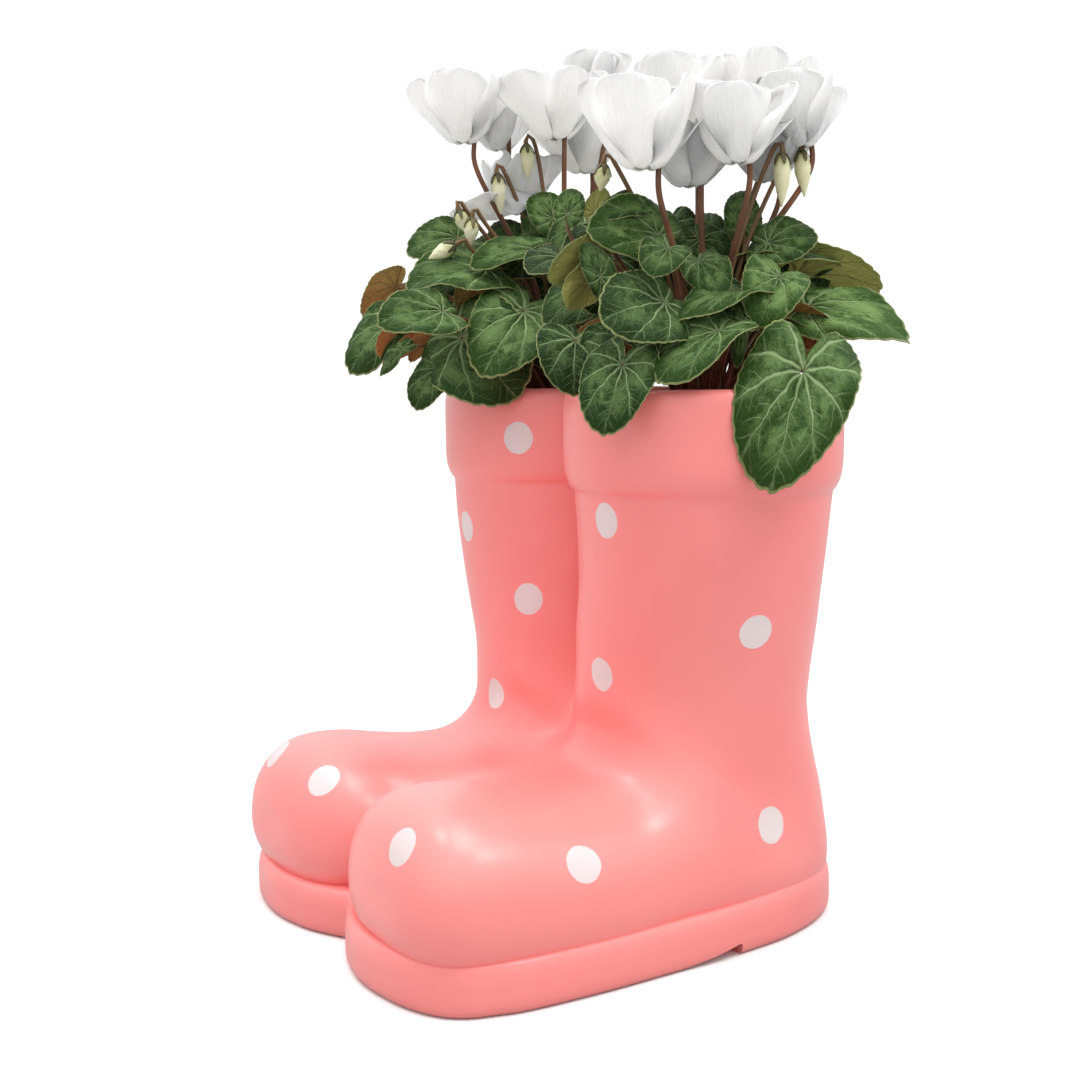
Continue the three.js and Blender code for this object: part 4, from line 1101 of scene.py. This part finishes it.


# Leaves: plant, junction with the leaf stalk, tip, roll about the line between them in degrees,
# width factor, bend toward the tip and fold along the midrib in degrees, where the stalk roots
# (bearing, distance), how light or dark the leaf is (its own green, made darker as painted shade
# for leaves that sit in shade), and how rusty the underside is.
LEAVES = [
    ["near", [127, 3, 247], [133, -18, 198], 35, 0.74, 20, 6, [0, 15], 0.5, 0.2],
    ["near", [92, 33, 274], [126, 60, 261], -35, 0.66, 25, 14, [39, 14], 0.9, 0.3],
    ["near", [75, 41, 289], [103, 69, 283], 55, 0.62, 30, 10, [81, 10.5], 0.6, 0.1],
    ["near", [100, 12, 285], [107, -3, 267], 25, 1, 30, 20, [9, 11], 0.9, 0.3],
    ["near", [95, -3, 280], [93, -36, 266], 22, 0.55, 30, 22, [-9, 11], 0.6, 0.4],
    ["near", [86, -36, 275], [88, -67, 268], 50, 1.05, 20, 6, [-54, 13], 0.2, 0.2],
    ["near", [79, -13, 292], [95, -14, 277], -25, 0.8, 25, 10, [-32, 9.5], 0.5, 0.2],
    ["near", [62, -22, 303], [54, -52, 307], 60, 0.85, 25, 10, [-72, 9.5], 0.7, 0.2],
    ["near", [80, 22, 301], [95, 38, 302], -60, 1, 30, 10, [28, 11], 0.45, 0.2],
    ["near", [103, -21, 263], [100, -51, 243], 18, 0.75, 20, 14, [-21, 13], 0.5, 0.3],
    ["near", [88, -57, 250], [91, -68, 222], 35, 0.85, 20, 8, [-66, 15], 0.25, 0.3],
    ["near", [65, -65, 260], [73, -71, 239], 5, 1.15, 40, 16, [-84, 13.5], 0.1, 0.3],
    ["far", [-24, -40, 275], [-16, -68, 244], 40, 0.88, 30, 6, [-48, 13], 0.55, 0.9],
    ["far", [-40, -64, 263], [-16, -49, 237], -60, 1.15, 30, 8, [-63, 15.5], 0.35, 0.2],
    ["far", [-35, -76, 275], [-37, -106, 272], 45, 0.85, 20, 8, [-75, 14], 0.5, 0.6],
    ["far", [-47, -47, 295], [-60, -86, 287], 35, 0.75, 30, 14, [-63, 12], 0.55, 0.3],
    ["far", [-71, -50, 311], [-81, -74, 305], 50, 0.9, 30, 10, [-108, 12.5], 0.6, 0.2],
    ["far", [-79, -78, 274], [-88, -100, 249], 40, 0.75, 30, 10, [-111, 16], 0.4, 0.9],
    ["far", [-98, -70, 289], [-110, -83, 274], -50, 0.85, 20, 8, [-123, 12], 0.45, 0.6],
    ["far", [-56, -87, 258], [-61, -98, 246], 35, 0.6, 20, 8, [-99, 15.5], 0.5, 0.95],
    ["far", [-42, -76, 249], [-41, -89, 232], 35, 0.8, 20, 8, [-87, 15.5], 0.4, 1.0],
    ["far", [-30, -27, 303], [-40, -58, 299], 35, 0.6, 20, 20, [-42, 10], 0.6, 0.2],
    ["far", [-28, -5, 314], [-24, -24, 300], 35, 0.9, 30, 14, [-15, 9.5], 0.35, 0.2],
    ["far", [0, -16, 287], [3, -43, 267], 35, 0.8, 30, 10, [-21, 12.5], 0.3, 0.3],
    ["near", [54, 7, 301], [39, 10, 319], 15, 0.9, 30, 12, [138, 9.5], 0.4, 0.2],
    ["near", [24, 23, 268], [-6, 40, 254], 0, 0.9, 25, 10, [150, 12.5], 0.4, 0.3],
    ["near", [37, 44, 276], [21, 74, 260], 0, 0.95, 25, 10, [117, 11.5], 0.3, 0.2],
    ["near", [62, 47, 262], [65, 83, 242], 0, 0.9, 25, 10, [87, 13.5], 0.5, 0.4],
    ["near", [74, 29, 296], [88, 55, 292], 0, 0.9, 25, 10, [63, 10.5], 0.4, 0.2],
    ["far", [-26, 30, 272], [0, 52, 256], 0, 0.9, 25, 10, [39, 12], 0.3, 0.3],
    ["far", [-47, 46, 264], [-37, 82, 244], 0, 0.95, 25, 10, [75, 13], 0.5, 0.2],
    ["far", [-74, 42, 274], [-88, 75, 260], 0, 0.9, 25, 10, [111, 12], 0.35, 0.3],
    ["far", [-98, 26, 266], [-130, 44, 246], 0, 0.95, 25, 10, [150, 13], 0.45, 0.4],
]
# More leaves between and behind those of the frame, which have no CAD node; columns as above.
# The darkest of them are made dark as painted shade.
EXTRA_LEAVES = [
    ["far", [-41, -18, 308], [-55, -55, 302], 20, 0.55, 20, 10, [-50, 12.5], 0.35, 0.2],
    ["far", [-51, -11, 309], [-64, -13, 333], 36, 0.7, 20, 14, [-61, 9.1], 0.55, 0.2],
    ["near", [49, -45, 294], [52, -71, 288], -75, 0.7, 20, 8, [-101, 12.8], 0.3, 0.1],
    ["near", [52, -49, 286], [55, -66, 275], -79, 0.8, 20, 8, [-97, 5.6], 0.6, 0.15],
    ["near", [62, -51, 286], [52, -53, 302], 35, 0.6, 30, 16, [-86, 9.9], 0.35, 0.2],
    ["far", [-43, -13, 320], [-55, -17, 333], 41, 0.95, 25, 10, [-46, 8.0], 0.75, 0.2],
    ["near", [40, -53, 313], [37, -46, 323], -30, 0.9, 25, 10, [-109, 11.4], 0.8, 0.2],
    ["near", [39, -39, 314], [38, -33, 325], 125, 0.8, 25, 10, [-115, 6.4], 0.5, 0.1],
    ["near", [54, -29, 316], [55, -47, 312], 46, 0.8, 25, 10, [-97, 12.0], 0.35, 0.2],
    ["near", [85, -33, 296], [90, -44, 284], 29, 1.0, 30, 14, [-53, 9.4], 0.4, 0.2],
    ["near", [63, 21, 310], [56, 22, 326], 28, 0.8, 25, 10, [76, 12.2], 0.95, 0.2],
    ["near", [79, 51, 294], [80, 66, 300], -45, 0.8, 20, 8, [66, 8.8], 0.45, 0.2],
    ["near", [88, 30, 268], [107, 45, 258], 38, 0.9, 25, 8, [43, 8.4], 0.3, 0.75],
    ["near", [93, 27, 264], [106, 33, 255], 43, 0.8, 25, 8, [35, 11.3], 0.3, 0.9],
    ["near", [100, -7, 267], [104, -12, 249], 22, 0.32, 15, 14, [-13, 12.9], 0.5, 0.5],
    ["near", [70, -53, 261], [72, -65, 251], 47, 0.9, 25, 8, [-78, 8.0], 0.3, 0.6],
    ["far", [-58, -71, 268], [-60, -81, 253], -92, 0.42, 20, 8, [-90, 12.8], 0.4, 0.95],
    ["far", [-65, -70, 271], [-74, -95, 257], -46, 0.8, 20, 8, [-95, 12.4], 0.5, 0.9],
    ["far", [-52, -43, 289], [-53, -62, 277], -76, 0.9, 20, 8, [-82, 6.4], 0.3, 0.5],
    ["far", [-49, -27, 299], [-50, -43, 292], 48, 0.9, 20, 8, [-73, 9.9], 0.15, 0.4],
    ["near", [34, -54, 295], [41, -73, 288], 31, 1.0, 20, 8, [-113, 10.6], 0.1, 0.4],
    ["far", [-65, -23, 308], [-78, -24, 323], 34, 0.9, 20, 8, [-105, 12.5], 0.4, 0.4],
    ["near", [88, -11, 276], [104, 0, 264], -52, 0.9, 20, 10, [-26, 10.3], 0.2, 0.4],
    ["near", [77, -42, 264], [88, -36, 255], -41, 0.9, 20, 10, [-67, 6.1], 0.15, 0.5],
    ["near", [53, -58, 260], [55, -66, 247], 39, 0.9, 20, 10, [-95, 9.0], 0.1, 0.6],
    ["far", [-43, -21, 267], [-33, -20, 249], -31, 0.9, 20, 10, [-57, 8.9], 0.1, 0.6],
    ["far", [-54, -53, 267], [-56, -68, 258], 45, 0.9, 20, 10, [-85, 9.0], 0.15, 0.6],
    ["near", [80, 23, 281], [90, 26, 268], -42, 1.0, 20, 10, [42, 12.7], 0.2, 0.5],
    ["near", [55, 4, 303], [63, 14, 294], -69, 1.0, 20, 10, [163, 7.8], 0.15, 0.5],
    # From here on the leaves share one very dark green and fill the gaps deep among the leaves;
    # their dark colour is painted shade.
    ["far", [-91, -41, 301], [-91, -51, 283], 47, 1.0, 20, 8, [-127, 7.4], 0.12, 0.4],
    ["far", [-77, -23, 304], [-72, -26, 277], 1, 1.0, 20, 8, [-126, 9.3], 0.12, 0.4],
    ["far", [-68, -5, 308], [-62, -7, 277], -11, 1.0, 20, 8, [-141, 8.4], 0.12, 0.4],
    ["far", [-61, 10, 290], [-56, 7, 261], 2, 1.0, 20, 8, [112, 4.6], 0.12, 0.4],
    ["far", [-71, -16, 283], [-67, -22, 256], 21, 1.0, 20, 8, [-122, 5.1], 0.12, 0.4],
    ["far", [-86, -44, 283], [-79, -44, 258], -27, 1.0, 20, 8, [-120, 9.1], 0.12, 0.4],
    ["near", [30, -30, 299], [35, -35, 270], 13, 1.0, 20, 8, [-130, 3.0], 0.12, 0.4],
    ["near", [40, -12, 294], [46, -13, 265], -17, 1.0, 20, 8, [-142, 8.7], 0.12, 0.4],
    ["near", [51, 7, 294], [57, 5, 263], -16, 1.0, 20, 8, [154, 8.6], 0.12, 0.4],
    ["near", [62, 24, 294], [68, 22, 263], -13, 1.0, 20, 8, [79, 6.3], 0.12, 0.4],
    ["near", [70, 43, 294], [77, 43, 269], -33, 1.0, 20, 8, [74, 5.1], 0.12, 0.4],
    ["near", [43, -3, 310], [49, -5, 291], -9, 1.0, 20, 8, [-160, 4.9], 0.12, 0.4],
    ["near", [53, 17, 306], [58, 13, 288], 3, 1.0, 20, 8, [111, 4.8], 0.12, 0.4],
    ["far", [-58, 8, 316], [-53, 4, 291], 14, 1.0, 20, 8, [80, 6.1], 0.12, 0.4],
]
LEAF_WORDS = ("plant", "at", "tip", "roll", "wide", "droop", "fold", "root", "tone", "rust")

# Flowers: plant, middle of the mouth, size, turn of the petals in degrees, how far they spread,
# root, lean along X and Y in degrees, and the petals that droop with how far in degrees.
FLOWERS = [
    ["far", [-65, -48, 355], 1.05, 40, 1.1, [-118, 6], [0, 0], {}],
    ["far", [-72, -25, 354], 0.92, 40, 1.0, [-150, 3.5], [0, 0], {0: 125}],
    ["far", [-47, -9, 357], 1.08, 0, 1.1, [-45, 5], [0, 0], {}],
    ["far", [-56, 21, 376], 0.88, 20, 0.65, [81, 5], [0, 0], {}],
    ["near", [72, -36, 329], 1.2, 30, 1.05, [-60, 5.5], [0, 0], {}],
    ["near", [45, 4, 353], 0.92, 15, 1.25, [177, 4], [0, 0], {}],
    ["near", [86, 1, 332], 1.1, 42, 0.95, [-3, 5], [0, 0], {}],
    ["near", [55, 34, 352], 1.06, 50, 1.15, [96, 5], [0, 0], {}],
    ["near", [84, 35, 341], 0.98, 25, 0.85, [51, 5], [0, 0], {}],
    ["far", [-69, 20, 346], 1.08, 60, 1.15, [123, 5], [0, 0], {}],
    ["near", [60, -5, 325], 1.0, 10, 1.1, [-78, 1.5], [0, 0], {}],
    ["near", [69, 30, 328], 0.95, 33, 1.0, [72, 7.5], [0, 0], {}],
    ["far", [-77, -14, 325], 1.0, 0, 1.0, [-178, 6], [0, 0], {4: 60}],
]
FLOWER_WORDS = ("plant", "at", "size", "spin", "spread", "root", "lean", "hang")

# Buds: plant, top and tip of the bud, root.
BUDS = [
    ["far", [-58, -18, 354], [-57, -18, 339], [-60, 8]],
    ["far", [-62, -32, 340], [-61, -31, 322], [-80, 5]],
    ["far", [-59, -54, 322], [-58, -52, 313], [-93, 12]],
    ["far", [-54, -50, 318], [-55, -51, 306], [-76, 10]],
    ["far", [-52, -61, 306], [-58, -71, 300], [-120, 9.5]],
    ["near", [46, -39, 332], [45, -40, 322], [-108, 8]],
    ["near", [84, 36, 338], [85, 37, 320], [39, 8]],
    ["near", [86, 24, 336], [86, 24, 315], [15, 8]],
]
BUD_WORDS = ("plant", "at", "tip", "root")


# Tiers of leaves on the sides away from the toes: height, distance from the axis, length, how far
# the tip lies lower, bearing of the first leaf, number of leaves.
BACK_TIERS = (
    (264, 38, 34, 15, 78, 5), (277, 26, 31, 12, 95, 4), (292, 13, 27, 8, 84, 4),
)


def back_leaves():
    """Leaves on the sides away from the toes, in tiers: the higher, the nearer the axis."""
    rng = np.random.default_rng(41)
    for plant, x in PLANT_X.items():
        for height, reach, length, drop, first, count in BACK_TIERS:
            for k in range(count):
                bearing = first + 36 * k + rng.uniform(-7, 7)
                turn = math.radians(bearing)
                out = np.array([math.cos(turn), math.sin(turn), 0])
                at = [x, SHAFT_Y, height + rng.uniform(-5, 5)] + out * reach
                tip = at + out * length * rng.uniform(0.85, 1.1) - [0, 0, drop + rng.uniform(-5, 5)]
                yield {"plant": plant, "at": at, "tip": tip, "roll": rng.uniform(-22, 22),
                       "wide": rng.uniform(0.8, 1.0), "droop": 28, "fold": rng.uniform(6, 14),
                       "root": (bearing, reach * 0.2 + 4), "tone": rng.uniform(0.25, 0.75),
                       "rust": rng.uniform(0.1, 0.5)}


def numbered(rows, words):
    """Each row as a dict with its running number within its plant."""
    counts = {}
    for row in rows:
        spec = dict(zip(words, row))
        counts[spec["plant"]] = counts.get(spec["plant"], 0) + 1
        yield f"{spec['plant']}_{counts[spec['plant']]:02d}", spec


# Where the seeds of each kind of piece start; each piece adds its number.
LEAF_SEED, EXTRA_SEED, FLOWER_SEED, BUD_SEED, BACK_SEED = 100, 150, 200, 300, 400


def grown_leaf(name, leaf, seed, stands_for=()):
    """One leaf with its stalk as one object."""
    bodies = [blade_body(leaf, seed), petiole_body(leaf)]
    piece("cyclamen_leaf_" + name, bodies, [LOOKS["leaf"], LOOKS["stalk"]], stands_for)


def plants():
    """One object for each leaf, flower and bud of the frame, and for each further leaf."""
    for k, (name, leaf) in enumerate(numbered(LEAVES, LEAF_WORDS)):
        grown_leaf(name, leaf, LEAF_SEED + k, ["leaf_" + name])
    for k, row in enumerate(EXTRA_LEAVES):
        grown_leaf(f"extra_{k + 1:02d}", dict(zip(LEAF_WORDS, row)), EXTRA_SEED + k)
    for k, leaf in enumerate(back_leaves()):
        grown_leaf(f"back_{k + 1:02d}", leaf, BACK_SEED + k)
    petal_looks = [LOOKS["petal"], LOOKS["stalk"], LOOKS["calyx"]]
    for k, (name, flower) in enumerate(numbered(FLOWERS, FLOWER_WORDS)):
        bodies = flower_bodies(flower, FLOWER_SEED + k)
        piece("cyclamen_flower_" + name, bodies, petal_looks, ["flower_" + name])
    bud_looks = [LOOKS["bud"], LOOKS["stalk"], LOOKS["calyx"]]
    for k, (name, bud) in enumerate(numbered(BUDS, BUD_WORDS)):
        bodies = bud_bodies(bud, BUD_SEED + k)
        piece("cyclamen_bud_" + name, bodies, bud_looks, ["bud_" + name])


def planting():
    """Soil with crumbs and the tuber in each shaft."""
    for name, side, seed in (("near", 1, 31), ("far", -1, 32)):
        bodies = [soil_body(side)] + crumbs(side, CRUMB_COUNT, seed)
        piece("peat_" + name, bodies, [LOOKS["soil"]], ["soil_" + name])
        piece("corky_tuber_" + name, [tuber_body(side)], [LOOKS["tuber"]],
              ["tuber_" + name])


# ---- camera, floor and light ----

CAMERA_AT = np.array([621.13, -394.17, 246.92])
CAMERA_AZIMUTH, CAMERA_ELEVATION, CAMERA_ROLL = 57.6, 9.28, -0.42
PHOTO_SIDE, FOCAL_PIXELS = 1080.0, 1561.97
SHIFT_PIXELS = (86.78, 87.82)


def view_axes(azimuth, elevation):
    """Right, up and back of something that looks at the plant from an azimuth (0 looks along +Y)
    and an elevation, in degrees."""
    a, e = math.radians(azimuth), math.radians(elevation)
    back = np.array([math.sin(a) * math.cos(e), -math.cos(a) * math.cos(e), math.sin(e)])
    right = np.array([math.cos(a), math.sin(a), 0.0])
    return right, np.cross(back, right), back


def camera():
    """Camera at the photograph's angle; its focal length is in pixels of the photograph."""
    right, up, back = view_axes(CAMERA_AZIMUTH, CAMERA_ELEVATION)
    r = math.radians(CAMERA_ROLL)
    right, up = right * math.cos(r) + up * math.sin(r), up * math.cos(r) - right * math.sin(r)
    data = bpy.data.cameras.new("camera")
    data.sensor_width = 36.0
    data.lens = FOCAL_PIXELS / PHOTO_SIDE * data.sensor_width
    data.shift_x = -SHIFT_PIXELS[0] / PHOTO_SIDE
    data.shift_y = SHIFT_PIXELS[1] / PHOTO_SIDE
    data.clip_start, data.clip_end = 0.01, 100.0
    made = bpy.data.objects.new("camera", data)
    turn = Matrix(np.column_stack([right, up, back]).tolist()).to_4x4()
    made.matrix_world = Matrix.Translation(CAMERA_AT * MM) @ turn
    bpy.context.scene.collection.objects.link(made)
    bpy.context.scene.camera = made


LIGHT_TARGET = (0, 0, 0.18)
# Softboxes: name, azimuth and elevation, distance, width and height in metres, power in watts.
SOFTBOXES = (
    ("main_softbox", 112, 56, 1.5, 0.26, 0.36, 5),
    ("left_softbox", -30, 60, 1.6, 0.22, 0.3, 3.5),
    ("top_softbox", 60, 84, 1.6, 0.8, 0.8, 10),
)
FLOOR_REACH = 30.0


def softbox(name, azimuth, elevation, distance, width, height, power):
    """Area light that faces the middle of the object."""
    right, up, back = view_axes(azimuth, elevation)
    data = bpy.data.lights.new(name, "AREA")
    data.shape, data.size, data.size_y, data.energy = "RECTANGLE", width, height, power
    made = bpy.data.objects.new(name, data)
    turn = Matrix(np.column_stack([right, up, back]).tolist()).to_4x4()
    made.matrix_world = (Matrix.Translation(LIGHT_TARGET)
                         @ Matrix.Translation(back * distance) @ turn)
    bpy.context.scene.collection.objects.link(made)


def studio():
    """Plain pale floor, a pale surround that is brighter overhead, and the softboxes. The camera
    sees floor and surround paler than the light that they give back."""
    scene = bpy.context.scene
    scene.view_settings.view_transform = "Standard"
    mesh = bpy.data.meshes.new("floor")
    r = FLOOR_REACH
    mesh.from_pydata([(-r, -r, 0), (r, -r, 0), (r, r, 0), (-r, r, 0)], [], [(0, 1, 2, 3)])
    look, n, shader = new_look("pale_floor", Roughness=0.9, Specular_IOR_Level=0.1)
    seen = n.add("LightPath").outputs["Is Camera Ray"]
    n.feed(shader["Base Color"], n.mix(seen, (0.48, 0.48, 0.48, 1), (0.92, 0.92, 0.92, 1)))
    mesh.materials.append(look)
    floor = bpy.data.objects.new("floor", mesh)
    scene.collection.objects.link(floor)
    world = bpy.data.worlds.new("surround")
    world.use_nodes = True
    n = Nodes(world.node_tree)
    surround = world.node_tree.nodes["Background"].inputs
    surround["Color"].default_value = (1.0, 1.0, 1.0, 1)
    parts = n.add("SeparateXYZ")
    n.feed(parts.inputs[0], n.add("TexCoord").outputs["Generated"])
    sky = n.math("MULTIPLY_ADD", n.math("MAXIMUM", parts.outputs[2], 0.0), 0.75, 0.8)
    seen = n.add("LightPath").outputs["Is Camera Ray"]
    n.feed(surround["Strength"], n.math("MAXIMUM", sky, n.math("MULTIPLY", seen, 1.1)))
    scene.world = world
    for box in SOFTBOXES:
        softbox(*box)


boots_upper()
boots_sole()
planting()
plants()
camera()
studio()
